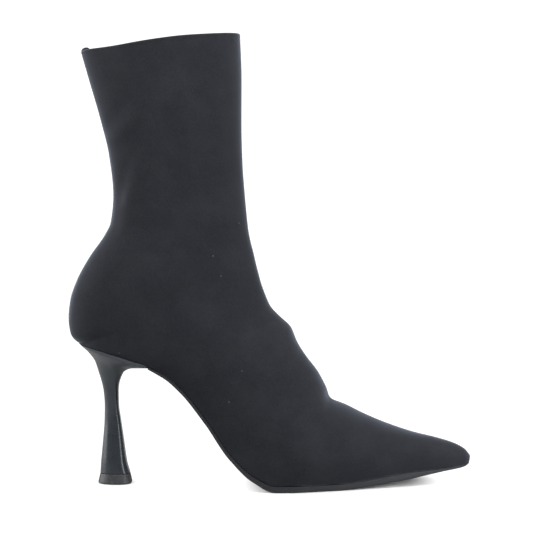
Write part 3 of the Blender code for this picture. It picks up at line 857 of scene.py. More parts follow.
class NodeDraft:
    """The nodes of one material or world, added from expressions."""

    MIX_FACTOR, MIX_FIRST, MIX_SECOND, MIX_RESULT = 0, 6, 7, 2

    def __init__(self, tree: bpy.types.NodeTree) -> None:
        """Draw in a tree.

        Args:
            tree: The node tree.
        """
        self.tree = tree

    def add(self, kind: str, settings: Mapping[str, Setting], inputs: Inputs,
            output: str | int = 0) -> Value:
        """Add a node.

        Args:
            kind: The node's type.
            settings: What is set on the node itself, before its sockets.
            inputs: The value or the link of each socket, by name or index.
            output: The socket that is returned.

        Returns:
            The output, as a value.
        """
        node = self.tree.nodes.new(kind)
        for name, setting in settings.items():
            setattr(node, name, setting)
        for key, given in inputs.items():
            self.feed(node.inputs[key], given)
        return Value(self, node.outputs[output])

    def feed(self, socket: bpy.types.NodeSocket, given: object) -> None:
        """Link a value to a socket, or set the socket to a number, colour or vector.

        Args:
            socket: The socket.
            given: The value, number, colour or vector.
        """
        if isinstance(given, Value):
            self.tree.links.new(given.socket, socket)
        elif socket.type == "RGBA" and len(given) == 3:
            socket.default_value = (*given, 1.0)
        else:
            socket.default_value = given

    def blend(self, factor: Operand, first: object, second: object) -> Value:
        """Return a colour between two.

        Args:
            factor: 0 for the first and 1 for the second.
            first: A colour or a colour value.
            second: A colour or a colour value.

        Returns:
            The mixed colour.
        """
        inputs = {self.MIX_FACTOR: factor, self.MIX_FIRST: first, self.MIX_SECOND: second}
        return self.add("ShaderNodeMix", {"data_type": "RGBA"}, inputs, self.MIX_RESULT)

    def object_place(self) -> Value:
        """Return the point in the boot's own frame, in metres."""
        return self.add("ShaderNodeTexCoord", {}, {}, "Object")

    def cloth_place(self) -> Value:
        """Return how far a point lies round from the crest and along the cloth, in metres."""
        return self.add(
            "ShaderNodeAttribute",
            {"attribute_name": CLOTH_PLACE, "attribute_type": "GEOMETRY"}, {}, "Vector")

    def parts(self, vector: Value) -> tuple[Value, Value, Value]:
        """Return the three numbers of a vector.

        Args:
            vector: The vector.

        Returns:
            Its x, y and z.
        """
        split = self.add("ShaderNodeSeparateXYZ", {}, {"Vector": vector})
        outputs = split.socket.node.outputs
        return split, Value(self, outputs["Y"]), Value(self, outputs["Z"])

    def noise(self, place: Value, size: float, detail: float = 2.0,
              roughness: float = 0.5) -> Value:
        """Return a cloudy pattern.

        Args:
            place: The point.
            size: The size of its clouds, in metres.
            detail: How many finer layers it has.
            roughness: How strong those are.

        Returns:
            A value about 0.5.
        """
        inputs = {"Vector": place, "Scale": 1 / size, "Detail": detail, "Roughness": roughness}
        return self.add("ShaderNodeTexNoise", {}, inputs)

    def stretched(self, place: Value, scale: tuple[float, float, float]) -> Value:
        """Return a point with each of its numbers multiplied."""
        return self.add(
            "ShaderNodeVectorMath", {"operation": "MULTIPLY"}, {0: place, 1: scale})

    def distance(self, place: Value, point: tuple[float, float, float]) -> Value:
        """Return the distance from a chosen point."""
        return self.add(
            "ShaderNodeVectorMath", {"operation": "DISTANCE"}, {0: place, 1: point}, "Value")

    def bump(self, height: Value, strength: float = 1.0) -> Value:
        """Return a normal that follows a height in metres."""
        return self.add(
            "ShaderNodeBump", {}, {"Height": height, "Distance": 1.0, "Strength": strength})


class Finish(ABC):
    """A surface finish, which makes its own material."""

    title = "finish"

    @abstractmethod
    def constants(self) -> dict[str, object]:
        """Return what is the same all over, by the shader's socket."""

    def varying(self, draft: NodeDraft) -> dict[str, Value]:
        """Return what changes over the surface, which is nothing on a plain finish."""
        return {}

    def make(self) -> bpy.types.Material:
        """Make the material.

        Returns:
            The material, or the one of this name that was made before.
        """
        made = bpy.data.materials.get(self.title)
        if made:
            return made
        material = bpy.data.materials.new(self.title)
        material.use_nodes = True
        draft = NodeDraft(material.node_tree)
        shader = material.node_tree.nodes["Principled BSDF"]
        for socket, given in {**self.constants(), **self.varying(draft)}.items():
            draft.feed(shader.inputs[socket], given)
        return material


class LintSpot(NamedTuple):
    """A speck of lint on the knit, at a point in metres."""

    x: float
    y: float
    z: float
    radius: float


LINT = (
    LintSpot(0.0584, -0.0210, 0.1352, 0.00055),
    LintSpot(0.0630, -0.0203, 0.1236, 0.00055),
    LintSpot(0.0733, -0.0112, 0.1540, 0.00060),
    LintSpot(0.0678, -0.0297, 0.0515, 0.00060),
    LintSpot(0.0752, -0.0284, 0.0692, 0.00050),
    LintSpot(0.0042, -0.0252, 0.0793, 0.00050),
)


@dataclass(frozen=True)
class KnitFinish(Finish):
    """Fine matte stretch knit, in wales that run along the boot."""

    colour: Colour = (0.0030, 0.0032, 0.0042)
    worn_colour: Colour = (0.0108, 0.0112, 0.0130)
    lint_colour: Colour = (0.050, 0.051, 0.054)
    roughness: float = 0.90
    sheen: float = 0.22
    sheen_roughness: float = 0.36
    sheen_tint: Colour = (0.70, 0.77, 0.95)
    gloss_tint: Colour = (0.82, 0.88, 1.0)
    wale_width: float = 0.8 * MILLIMETRE
    wale_run: float = 5.0 * MILLIMETRE
    wale_height: float = 0.030 * MILLIMETRE
    grain_size: float = 0.9 * MILLIMETRE
    fuzz_size: float = 0.5 * MILLIMETRE
    fuzz_height: float = 0.012 * MILLIMETRE
    cloud_size: float = 24 * MILLIMETRE
    patch_size: float = 4 * MILLIMETRE
    lint: tuple[LintSpot, ...] = ()
    title: str = "knit_black"

    def constants(self) -> dict[str, object]:
        """Return what is the same all over, by the shader's socket."""
        return {
            "Sheen Weight": self.sheen,
            "Sheen Roughness": self.sheen_roughness,
            "Sheen Tint": self.sheen_tint,
            "Specular IOR Level": 0.15,
            "Specular Tint": self.gloss_tint,
        }

    def _wales(self, draft: NodeDraft) -> Value:
        """Return the height of the fine uneven ribs that run along the boot, about 0.5.

        Args:
            draft: The material's nodes.

        Returns:
            The height as a value.
        """
        scale = (1 / self.wale_width, 1 / self.wale_run, 1.0)
        ribs = draft.stretched(draft.cloth_place(), scale)
        return draft.noise(ribs, 1.0, 1.0, 0.4)

    def varying(self, draft: NodeDraft) -> dict[str, Value]:
        """Return what changes over the surface, by the shader's socket.

        Args:
            draft: The material's nodes.

        Returns:
            The value of each socket.
        """
        place = draft.object_place()
        wales = self._wales(draft)
        fuzz = draft.noise(place, self.fuzz_size, 2.0, 0.5)
        clouds = draft.noise(place, self.cloud_size, 3.0, 0.55)
        patches = draft.noise(place, self.patch_size, 2.0)
        grain = draft.noise(place, self.grain_size, 2.0, 0.6).rise(0.32, 0.68)
        wear = clouds.rise(0.35, 0.75) * 0.30 + patches * 0.15 + wales * 0.20 + grain * 0.35
        colour = draft.blend(wear, self.colour, self.worn_colour)
        specks = None
        for spot in self.lint:
            near = draft.distance(place, spot[:3]).rise(spot.radius, spot.radius * 0.3)
            specks = near if specks is None else specks.larger(near)
        if specks is not None:
            colour = draft.blend(specks * 0.8, colour, self.lint_colour)
        height = wales * self.wale_height + fuzz * self.fuzz_height
        return {
            "Base Color": colour,
            "Roughness": self.roughness + (wales - 0.5) * 0.08,
            "Normal": draft.bump(height, 0.5),
        }


@dataclass(frozen=True)
class LiningFinish(Finish):
    """Plain woven lining, a little lighter where feet have rubbed it."""

    colour: Colour = (0.024, 0.024, 0.026)
    rubbed_colour: Colour = (0.040, 0.040, 0.042)
    roughness: float = 0.78
    thread_pitch: float = 0.60 * MILLIMETRE
    thread_height: float = 0.03 * MILLIMETRE
    rub_size: float = 12 * MILLIMETRE
    title: str = "lining_black"

    def constants(self) -> dict[str, object]:
        """Return what is the same all over, by the shader's socket."""
        return {"Sheen Weight": 0.15, "Sheen Roughness": 0.5, "Specular IOR Level": 0.3}

    def varying(self, draft: NodeDraft) -> dict[str, Value]:
        """Return what changes over the surface, by the shader's socket.

        Args:
            draft: The material's nodes.

        Returns:
            The value of each socket.
        """
        place = draft.object_place()
        around, along, _ = draft.parts(draft.cloth_place())
        warp = (around * (2 * math.pi / self.thread_pitch)).sine()
        weft = (along * (2 * math.pi / self.thread_pitch)).sine()
        weave = warp * weft * 0.5 + 0.5
        rub = draft.noise(place, self.rub_size, 3.0).rise(0.4, 0.7)
        return {
            "Base Color": draft.blend(rub * 0.5 + weave * 0.2, self.colour, self.rubbed_colour),
            "Roughness": self.roughness + (weave - 0.5) * 0.1,
            "Normal": draft.bump(weave * self.thread_height, 0.6),
        }


@dataclass(frozen=True)
class LacquerFinish(Finish):
    """Black lacquer over a moulded heel, with a faint orange peel, a few dull places and painted
    light that makes the heel lighter from its neck up.
    """

    colour: Colour = (0.0130, 0.0145, 0.0170)
    # Lighter colour used both for the dull places and for the painted light on the upper heel.
    dusty_and_lit_colour: Colour = (0.0225, 0.0245, 0.0280)
    tint: Colour = (0.82, 0.92, 1.0)
    roughness: float = 0.27
    coat_roughness: float = 0.15
    peel_size: float = 1.6 * MILLIMETRE
    dull_size: float = 9 * MILLIMETRE
    streak_size: float = 1.2 * MILLIMETRE
    peel_height: float = 0.0003 * MILLIMETRE
    # Heights over which the painted light rises: the heel is painted lighter from its neck up, as
    # if more light falls there.
    upper_light_heights: tuple[float, float] = (0.050, 0.068)
    title: str = "lacquer_black"

    def constants(self) -> dict[str, object]:
        """Return what is the same all over, by the shader's socket."""
        return {
            "Coat Roughness": self.coat_roughness,
            "Coat Tint": self.tint,
            "Specular IOR Level": 0.36,
            "Specular Tint": self.tint,
        }

    def varying(self, draft: NodeDraft) -> dict[str, Value]:
        """Return what changes over the surface, by the shader's socket.

        Args:
            draft: The material's nodes.

        Returns:
            The value of each socket.
        """
        place = draft.object_place()
        peel = draft.noise(place, self.peel_size, 2.0)
        dull = draft.noise(place, self.dull_size, 1.0, 0.5).rise(0.45, 0.72)
        streaks = draft.noise(draft.stretched(place, (1.0, 1.0, 0.08)), self.streak_size, 2.0)
        # Painted light: from the neck up the heel gets a lighter colour, with a rougher and thinner
        # coat.
        upper_light = draft.parts(place)[2].rise(*self.upper_light_heights)
        dust_and_light = dull * 0.4 + upper_light * 0.6
        return {
            "Base Color": draft.blend(dust_and_light, self.colour, self.dusty_and_lit_colour),
            "Roughness": self.roughness + dull * 0.03 + upper_light * 0.20 + (streaks - 0.5) * 0.03,
            "Coat Weight": 0.05 - dull * 0.02 - upper_light * 0.02,
            "Normal": draft.bump(peel * self.peel_height, 0.5),
        }


@dataclass(frozen=True)
class RubberFinish(Finish):
    """Dull hard rubber, mottled by wear towards the floor."""

    colour: Colour = (0.0130, 0.0145, 0.0162)
    worn_colour: Colour = (0.0270, 0.0295, 0.0325)
    roughness: float = 0.50
    mottle_size: float = 2.2 * MILLIMETRE
    grain_size: float = 0.35 * MILLIMETRE
    grain_height: float = 0.02 * MILLIMETRE
    worn_below: float = 3.0 * MILLIMETRE
    title: str = "rubber_black"

    def constants(self) -> dict[str, object]:
        """Return what is the same all over, by the shader's socket."""
        return {"Specular IOR Level": 0.45}

    def varying(self, draft: NodeDraft) -> dict[str, Value]:
        """Return what changes over the surface, by the shader's socket.

        Args:
            draft: The material's nodes.

        Returns:
            The value of each socket.
        """
        place = draft.object_place()
        height = draft.parts(place)[2]
        mottle = draft.noise(place, self.mottle_size, 4.0, 0.65)
        grain = draft.noise(place, self.grain_size, 2.0)
        wear = mottle.rise(0.42, 0.68) * (0.45 + height.rise(self.worn_below, 0.0) * 0.55)
        return {
            "Base Color": draft.blend(wear, self.colour, self.worn_colour),
            "Roughness": self.roughness + wear * 0.15,
            "Normal": draft.bump(grain * self.grain_height, 0.7),
        }


@dataclass(frozen=True)
class SoleFinish(Finish):
    """Black sole stock: burnished and satin at its edge, matte and scuffed underneath."""

    colour: Colour = (0.0125, 0.013, 0.014)
    edge_colour: Colour = (0.0075, 0.0082, 0.0100)
    scuff_colour: Colour = (0.065, 0.064, 0.062)
    edge_roughness: float = 0.42
    tread_roughness: float = 0.62
    grain_size: float = 0.45 * MILLIMETRE
    scuff_size: float = 1.5 * MILLIMETRE
    grain_height: float = 0.02 * MILLIMETRE
    title: str = "sole_black"

    def constants(self) -> dict[str, object]:
        """Return what is the same all over, by the shader's socket."""
        return {"Specular IOR Level": 0.28}

    def varying(self, draft: NodeDraft) -> dict[str, Value]:
        """Return what changes over the surface, by the shader's socket.

        Args:
            draft: The material's nodes.

        Returns:
            The value of each socket.
        """
        place = draft.object_place()
        facing = draft.add("ShaderNodeNewGeometry", {}, {}, "Normal")
        under = draft.parts(facing)[2].rise(-0.55, -0.9)
        grain = draft.noise(place, self.grain_size, 3.0, 0.6)
        scuffs = draft.noise(draft.stretched(place, (0.25, 1.0, 1.0)), self.scuff_size, 4.0, 0.7)
        x, _, z = draft.parts(place)
        pressed = z.rise(1.2 * MILLIMETRE, 0.1 * MILLIMETRE) * x.rise(0.085, 0.105)
        worn = scuffs.rise(0.52, 0.70) * (0.25 + pressed * 0.75) * under
        base = draft.blend(under, self.edge_colour, self.colour)
        satin = self.edge_roughness + under * (self.tread_roughness - self.edge_roughness)
        return {
            "Base Color": draft.blend(worn * 0.5, base, self.scuff_colour),
            "Roughness": satin + (grain - 0.5) * 0.1,
            "Normal": draft.bump(grain * self.grain_height, 0.5),
        }


# The pieces of the boot

class Side(Enum):
    """Which side of the boot a drape lies on."""

    LATERAL = -1
    MEDIAL = 1


class Fold(NamedTuple):
    """A soft ridge or trough across the boot, which fades down both sides.

    place counts sections from the toe, and spread is in the same count. height is less than
    nothing in a trough, and reach how far down the sides it runs, in metres.
    """

    place: float
    spread: float
    height: float
    reach: float


FOLD_UNIT = 0.0020
FOLDS = [
    Fold(9.35, 0.36, -0.75 * FOLD_UNIT, 0.026),
    Fold(10.65, 0.60, 0.30 * FOLD_UNIT, 0.024),
    Fold(13.45, 0.62, 0.95 * FOLD_UNIT, 0.028),
    Fold(15.10, 0.62, -0.50 * FOLD_UNIT, 0.028),
]


class Drape(NamedTuple):
    """A soft ridge or trough on the shaft or foot, along a line of the side view.

    The places are in metres. height is less than nothing in a trough, and width is the
    spread of the bell across the line.
    """

    side: Side
    start_x: float
    start_z: float
    end_x: float
    end_z: float
    width: float
    height: float


DRAPES = [
    Drape(Side.LATERAL, 0.0225, 0.2300, 0.0155, 0.2150, 0.0050, 0.00063),
    Drape(Side.LATERAL, 0.0155, 0.2150, 0.0030, 0.2050, 0.0055, 0.00058),
    Drape(Side.LATERAL, 0.0050, 0.2210, 0.0000, 0.2120, 0.0040, -0.00058),
    Drape(Side.LATERAL, 0.0190, 0.1890, 0.0105, 0.1690, 0.0050, 0.00073),
    Drape(Side.LATERAL, 0.0105, 0.1690, 0.0075, 0.1540, 0.0036, 0.00068),
    Drape(Side.LATERAL, 0.0075, 0.1850, 0.0040, 0.1690, 0.0036, -0.00078),
    Drape(Side.LATERAL, 0.0590, 0.2320, 0.0620, 0.1950, 0.0045, 0.00097),
    Drape(Side.LATERAL, 0.0485, 0.2250, 0.0505, 0.1800, 0.0050, -0.00107),
    Drape(Side.LATERAL, 0.0330, 0.2320, 0.0320, 0.1760, 0.0070, -0.00088),
    Drape(Side.LATERAL, 0.0980, 0.0880, 0.0900, 0.0840, 0.0030, 0.00043),
    Drape(Side.LATERAL, 0.0915, 0.0960, 0.0800, 0.0910, 0.0026, -0.00054),
    Drape(Side.LATERAL, 0.1100, 0.0600, 0.1020, 0.0570, 0.0030, 0.00043),
    Drape(Side.LATERAL, 0.1080, 0.0760, 0.0950, 0.0700, 0.0028, -0.00049),
    Drape(Side.LATERAL, 0.1230, 0.0520, 0.1080, 0.0440, 0.0032, -0.00054),
    Drape(Side.MEDIAL, 0.0200, 0.1900, 0.0100, 0.1600, 0.0045, 0.00058),
    Drape(Side.MEDIAL, 0.0500, 0.2200, 0.0520, 0.1900, 0.0050, -0.00058),
    Drape(Side.MEDIAL, 0.0930, 0.0940, 0.0800, 0.0900, 0.0028, -0.00049),
    Drape(Side.MEDIAL, 0.1180, 0.0560, 0.1030, 0.0480, 0.0034, -0.00049),
]


@dataclass
class Upper(Piece):
    """The knitted upper: one hollow wall, bound at the collar, with its folds and back seam."""

    wall: float = 0.0015
    nap: float = 0.0002
    binding_height: float = 0.0018
    binding_step: float = 0.00005
    binding_run_in: float = 0.0012
    binding_cuts: int = 14
    hem_low: float = 0.0006
    hem_high: float = 0.0008
    groove_below: float = 0.0002
    groove_width: float = 0.0005
    groove_depth: float = 0.00003
    sag_x: float = -0.001
    sag_width: float = 0.017
    sag_depth: float = 0.00115
    lift_x: float = 0.041
    lift_width: float = 0.013
    lift_height: float = 0.00030
    worn_height: float = 0.03
    seam_height: float = 0.00022
    seam_width: float = 0.0009
    seam_fade: float = 0.010
    drape_fade: float = 0.008
    drape_tail: float = 0.6
    rim_steps: int = 8
    vamp_steps: int = 96
    instep_steps: int = 104
    seat_steps: int = 30
    heel_steps: int = 56
    shaft_steps: int = 72
    toe_steps: int = 12
    toe_blunt: float = 0.10
    relax_rounds: int = 8
    relax_shares: tuple[float, float] = (0.5, -0.52)
    ball_place: float = 9.0
    ankle_place: float = 25.0

    name = "knit_upper"
    nodes = ("upper",)
    slot = "knit"
    finishes = (KnitFinish(lint=LINT), LiningFinish())

    def _stations(self) -> list[float]:
        """Return the travels at which the upper is cut, with more of them where it bends.

        Returns:
            The travels, rising from the toe's tip.
        """
        last = self.last
        quarter = math.pi / 2
        toe_turns = np.linspace(self.toe_blunt, quarter, self.toe_steps, endpoint=False)
        seat_turns = np.linspace(0.0, quarter, self.seat_steps, endpoint=False)
        toe_end = last.travel_at_foot(last.toe_tip - last.toe_radius)
        seat_start = last.travel_at_foot(last.seat_back + last.seat_round)
        ball, ankle = last.travel_at(self.ball_place), last.travel_at(self.ankle_place)
        top = last.collar_travel - (self.wall + self.binding_step) / 2
        hem = last.collar_travel - self.binding_height - self.binding_run_in
        toe = [last.travel_at_foot(last.toe_tip - last.toe_radius * (1 - math.cos(turn)))
               for turn in toe_turns]
        seat = [last.travel_at_foot(last.seat_back + last.seat_round * (1 - math.sin(turn)))
                for turn in seat_turns]
        return [
            *toe,
            *np.linspace(toe_end, ball, self.vamp_steps, endpoint=False),
            *np.linspace(ball, seat_start, self.instep_steps, endpoint=False),
            *seat,
            *np.linspace(last.seat_travel, ankle, self.heel_steps, endpoint=False),
            *np.linspace(ankle, hem, self.shaft_steps, endpoint=False),
            *np.linspace(hem, top, self.binding_cuts),
        ]

    def _relaxed(self, points: np.ndarray, foot_rows: int) -> np.ndarray:
        """Return the grid with its small kinks smoothed, and its edges as they were.

        Args:
            points: The grid.
            foot_rows: How many of its rows have open feet.

        Returns:
            The smoothed grid.
        """
        for share in self.relax_shares * self.relax_rounds:
            along = (points[:-2] + points[2:]) / 2
            moved = points.copy()
            moved[1:-1] += (along - points[1:-1]) * share
            across = (moved[:, :-2] + moved[:, 2:]) / 2
            smooth = moved.copy()
            smooth[:, 1:-1] += (across - moved[:, 1:-1]) * share
            back = (moved[foot_rows:, 1] + moved[foot_rows:, -2]) / 2
            joined = moved[foot_rows:, 0] + (back - moved[foot_rows:, 0]) * share
            smooth[foot_rows:, 0] = joined
            smooth[foot_rows:, -1] = joined
            smooth[:foot_rows, [0, -1]] = points[:foot_rows, [0, -1]]
            smooth[:2] = points[:2]
            points = smooth
        return points

    def _folds(self, travels: np.ndarray, girth: np.ndarray) -> np.ndarray:
        """Return how far the folds lift each point.

        Args:
            travels: The travel of each row.
            girth: How far each point lies from the crest, less than nothing on the lateral side.

        Returns:
            Heights in rows and columns.
        """
        last = self.last
        height = np.zeros_like(girth)
        for fold in FOLDS:
            centre = last.travel_at(fold.place)
            spread = last.travel_at(fold.place + fold.spread) - centre
            across = bell(travels[:, None] - centre, spread)
            height += fold.height * across * bell(girth, fold.reach)
        return height

    def _collar_line(self, points: np.ndarray, travels: np.ndarray) -> np.ndarray:
        """Return how far the worn collar sags behind and lifts in front of its straight line.

        Args:
            points: The grid.
            travels: The travel of each row.

        Returns:
            Heights in rows and columns.
        """
        x = points[..., 0]
        sag = bell(x - self.sag_x, self.sag_width) * self.sag_depth
        lift = bell(x - self.lift_x, self.lift_width) * self.lift_height
        top = self.last.collar_travel
        near_top = smooth_step(top - self.worn_height, top, travels)
        return (lift - sag) * near_top[:, None]

    def _drapes(self, points: np.ndarray) -> np.ndarray:
        """Return how far the drapes lift each point of the grid.

        Args:
            points: The grid.

        Returns:
            Heights in rows and columns.
        """
        x, y, z = points[..., 0], points[..., 1], points[..., 2]
        height = np.zeros_like(x)
        for drape in DRAPES:
            run = np.array([drape.end_x - drape.start_x, drape.end_z - drape.start_z])
            length = np.linalg.norm(run)
            run /= length
            along = (x - drape.start_x) * run[0] + (z - drape.start_z) * run[1]
            past = along - np.clip(along, 0.0, length)
            off = (z - drape.start_z) * run[0] - (x - drape.start_x) * run[1]
            near = bell(np.hypot(off, past * self.drape_tail), drape.width)
            chosen = smooth_step(0.0, self.drape_fade, y * drape.side.value)
            height += drape.height * near * chosen
        return height

    def _binding(self, travels: np.ndarray) -> np.ndarray:
        """Return how far the collar's hem stands out, with a soft groove below it.

        Args:
            travels: The travel of each row.

        Returns:
            One height for each row.
        """
        below = self.last.collar_travel - self.binding_height
        step = smooth_step(below - self.hem_low, below + self.hem_high, travels)
        groove = bell(travels - below + self.groove_below, self.groove_width)
        return step * self.binding_step - groove * self.groove_depth

    def skin(self) -> Skin:
        """Return the upper's closed surface, knit outside and lining inside.

        Returns:
            The surface.
        """
        last = self.last
        travels = self._stations()
        foot_rows = sum(travel <= last.seat_travel for travel in travels)
        base = np.array([last.ring(travel) for travel in travels])
        base = self._relaxed(base, foot_rows)
        base[..., 2] += self._collar_line(base, np.array(travels))
        draft = Skin()
        draft.grid(base[::-1])
        normals = draft.normals(base.shape[:2])[::-1]
        steps = np.linalg.norm(np.diff(base, axis=1), axis=2)
        half = base.shape[1] // 2
        ways = np.concatenate([np.zeros((len(base), 1)), np.cumsum(steps, axis=1)], axis=1)
        girth = ways - ways[:, half:half + 1]
        rows = np.array(travels)
        folds = self._folds(rows, girth) + self._drapes(base)
        edge_way = np.minimum(ways, ways[:, -1:] - ways)
        fade_end = last.seat_travel + self.seam_fade
        on_shaft = smooth_step(last.seat_travel, fade_end, rows)[:, None]
        seam = bell(edge_way, self.seam_width) * self.seam_height * on_shaft
        step = self._binding(rows)[:, None]
        outer = base + normals * (folds + seam + step + self.nap)[..., None]
        inner = base + normals * (folds - self.wall)[..., None]
        foot_travels = travels[:foot_rows]
        outer[:foot_rows, [0, -1]] = last.feather_pairs(foot_travels, 0.0)
        inner[:foot_rows, [0, -1]] = last.feather_pairs(foot_travels, self.wall)
        rim = self._rim(outer, inner)
        places = np.stack([girth, np.broadcast_to(rows[:, None], girth.shape),
                           np.zeros_like(girth)], axis=2)
        skin = Skin()
        skin.grid(outer, 0, places)
        skin.grid(inner, 1, places)
        skin.grid(rim, 0, np.repeat(places[-1:], len(rim), axis=0))
        for side in (0, -1):
            skin.grid(np.stack([outer[:foot_rows, side], inner[:foot_rows, side]]), 1)
        for slot, wall in enumerate((outer, inner)):
            skin.grid(np.stack([wall[0, :half + 1], wall[0, ::-1][:half + 1]]), slot)
        skin.grid(np.array([[outer[0, 0], inner[0, 0]], [outer[0, -1], inner[0, -1]]]), 1)
        return skin

    def _rim(self, outer: np.ndarray, inner: np.ndarray) -> np.ndarray:
        """Return the rounded top of the collar, from the outer wall over to the inner one.

        Args:
            outer: The outer wall's grid.
            inner: The inner wall's grid.

        Returns:
            The rim's grid.
        """
        middle = (outer[-1] + inner[-1]) / 2
        out = outer[-1] - middle
        up = outer[-1] - outer[-2]
        up /= np.linalg.norm(up, axis=1)[:, None]
        up *= np.linalg.norm(out, axis=1)[:, None]
        turns = np.linspace(0.0, math.pi, self.rim_steps + 1)[:, None, None]
        rim = middle + out * np.cos(turns) + up * np.sin(turns)
        rim[0], rim[-1] = outer[-1], inner[-1]
        return rim


@dataclass
class SeamEnd(Piece):
    """The back seam's gathered end, a soft pad folded over the collar's rim."""

    half_length: float = 0.0029
    half_width: float = 0.0027
    half_height: float = 0.0028
    set_in: float = 0.0023
    set_down: float = 0.0014
    line_length: float = 0.008
    fullness: float = 0.8
    steps_round: int = 28
    steps_down: int = 16

    name = "seam_end"
    slot = "knit"
    finishes = (KnitFinish(),)

    def skin(self) -> Skin:
        """Return a small rounded pad that straddles the rim at the back seam.

        Returns:
            The surface.
        """
        last = self.last
        top = last.ring(last.collar_travel)[0]
        below = last.ring(last.collar_travel - self.line_length)[0]
        up = (top - below) / np.linalg.norm(top - below)
        out = np.array([-up[2], 0.0, up[0]])
        side = np.array([0.0, 1.0, 0.0])
        centre = top - up * self.set_down - out * self.set_in
        rows = []
        for turn in np.linspace(0.0, math.pi, self.steps_down + 1):
            rounds = np.linspace(0.0, 2 * math.pi, self.steps_round + 1)[:, None]
            wide = math.sin(turn) ** self.fullness
            ring = (centre + up * self.half_height * math.cos(turn)
                    + out * np.cos(rounds) * self.half_length * wide
                    + side * np.sin(rounds) * self.half_width * wide)
            ring[-1] = ring[0]
            rows.append(ring)
        skin = Skin()
        skin.grid(np.array(rows))
        return skin


@dataclass
class Insole(Piece):
    """The sock lining on the sole, of even thickness and rounded at its edge."""

    thickness: float = 0.0018
    wall: float = 0.0015
    shoulder: float = 0.0016
    steps_along: int = 150
    steps_across: int = 26

    name = "sock_lining"
    nodes = ("insole",)
    slot = "lining"
    finishes = (LiningFinish(),)

    def skin(self) -> Skin:
        """Return the sock lining's closed surface.

        Returns:
            The surface.
        """
        last = self.last
        turns = np.linspace(0.0, math.pi, self.steps_along)
        span = last.toe_tip - last.seat_back
        xs = last.seat_back + span * (1 + np.cos(turns)) / 2
        travels = [last.travel_at_foot(x) for x in xs]
        travels[0], travels[-1] = 0.0, last.seat_travel
        pairs = last.feather_pairs(travels, self.wall + last.gap)
        shares = (1 - np.cos(np.linspace(0.0, math.pi, self.steps_across))) / 2
        shares = shares[None, :, None]
        low = pairs[:, :1] + (pairs[:, 1:] - pairs[:, :1]) * shares
        widths = np.linalg.norm(pairs[:, 1] - pairs[:, 0], axis=1)[:, None]
        from_edge = np.minimum(shares[..., 0], 1 - shares[..., 0]) * widths
        ends = np.minimum(xs - xs[-1], xs[0] - xs)[:, None]
        near = np.minimum(from_edge, ends)
        rounded = np.sqrt(np.clip(1 - (1 - np.clip(near / self.shoulder, 0, 1)) ** 2, 0, 1))
        high = low.copy()
        high[..., 2] += self.thickness * rounded
        skin = Skin()
        cloth = np.stack([low[..., 1], low[..., 0], np.zeros_like(low[..., 0])], axis=2)
        skin.grid(low, 0, cloth)
        skin.grid(high, 0, cloth)
        return skin


@dataclass
class Outsole(Piece):
    """The sole, from the heel's lip to the toe, with its burnished edge and sewn channel."""

    lip_reach: float = 0.0203
    edge_bevel: float = 0.0006
    bevel_limit: float = 0.25
    shoulder: float = 0.35
    channel_inset: float = 0.0036
    channel_depth: float = 0.00022
    channel_width: float = 0.00035
    full_half: float = 0.008
    corner_steps: int = 6
    steps_along: int = 230
    steps_across: int = 20
    toe_steps: int = 14

    name = "sole"
    nodes = ("outsole",)
    slot = "sole"
    crisp_degrees = 60.0
    finishes = (SoleFinish(),)
    under_insets: ClassVar[tuple[float, ...]] = (
        1.0, 1.6, 2.2, 2.6, 2.9, 3.15, 3.35, 3.6, 3.85, 4.1, 4.5, 5.2, 6.5)
    under_shares: ClassVar[tuple[float, ...]] = (0.66, 0.33)
    top_shares: ClassVar[tuple[float, ...]] = (0.6, 0.2, -0.2, -0.6)

    def _ring(self, x: float) -> np.ndarray:
        """Return the sole's cross-section at x, from the top's middle round and back to it.

        Args:
            x: The place along the sole.

        Returns:
            The ring of points, the last on the first.
        """
        last = self.last
        lateral, medial = last.sole_edges(x)
        middle, half = (lateral + medial) / 2, (medial - lateral) / 2
        lean = last.feather_lean(x)
        top = last.feather_height(x) - last.gap * lean
        bottom = max(0.0, top - last.sole_depth(x) * lean)
        bevel = min(self.edge_bevel, 2 * half * self.bevel_limit)
        low = bottom + (top - bottom) * self.shoulder
        turns = np.linspace(0.0, math.pi / 2, self.corner_steps)
        corner = [(half - bevel * (1 - math.cos(turn)), low + (bottom - low) * math.sin(turn))
                  for turn in turns]
        edge = [(half, top), (half, (top + low) / 2), *corner]
        scale = min(1.0, half / self.full_half)
        insets = np.array(self.under_insets) * MILLIMETRE * scale
        depth = self.channel_depth if scale == 1.0 else 0.0
        dips = bell(insets - self.channel_inset, self.channel_width) * depth
        under = [(half - inset, bottom + dip) for inset, dip in zip(insets, dips)]
        under += [(share * (half - insets[-1]), bottom) for share in self.under_shares]
        side = edge + under
        lateral_side = [(middle - wide, height) for wide, height in side]
        medial_side = [(middle + wide, height) for wide, height in reversed(side)]
        tops = [(middle + half * share, top) for share in self.top_shares]
        ring = lateral_side + [(middle, bottom)] + medial_side + tops + lateral_side[:1]
        return np.array([(x, y, z) for y, z in ring])

    def skin(self) -> Skin:
        """Return the sole's closed surface.

        Returns:
            The surface.
        """
        last = self.last
        start = self.lip_reach + last.gap
        turns = np.linspace(0.0, math.pi / 2, self.toe_steps, endpoint=False)
        toe = [last.toe_tip - last.toe_radius * (1 - math.cos(turn)) for turn in turns]
        rest = np.linspace(last.toe_tip - last.toe_radius, start, self.steps_along)
        rings = np.array([self._ring(x) for x in [*toe, *rest]])
        skin = Skin()
        skin.grid(rings)
        skin.cap(rings[-1][:-1])
        return skin


class HeelLevel(NamedTuple):
    """A level of the heel in metres."""

    back: float
    back_z: float
    front: float
    front_z: float
    half: float
    breast: float


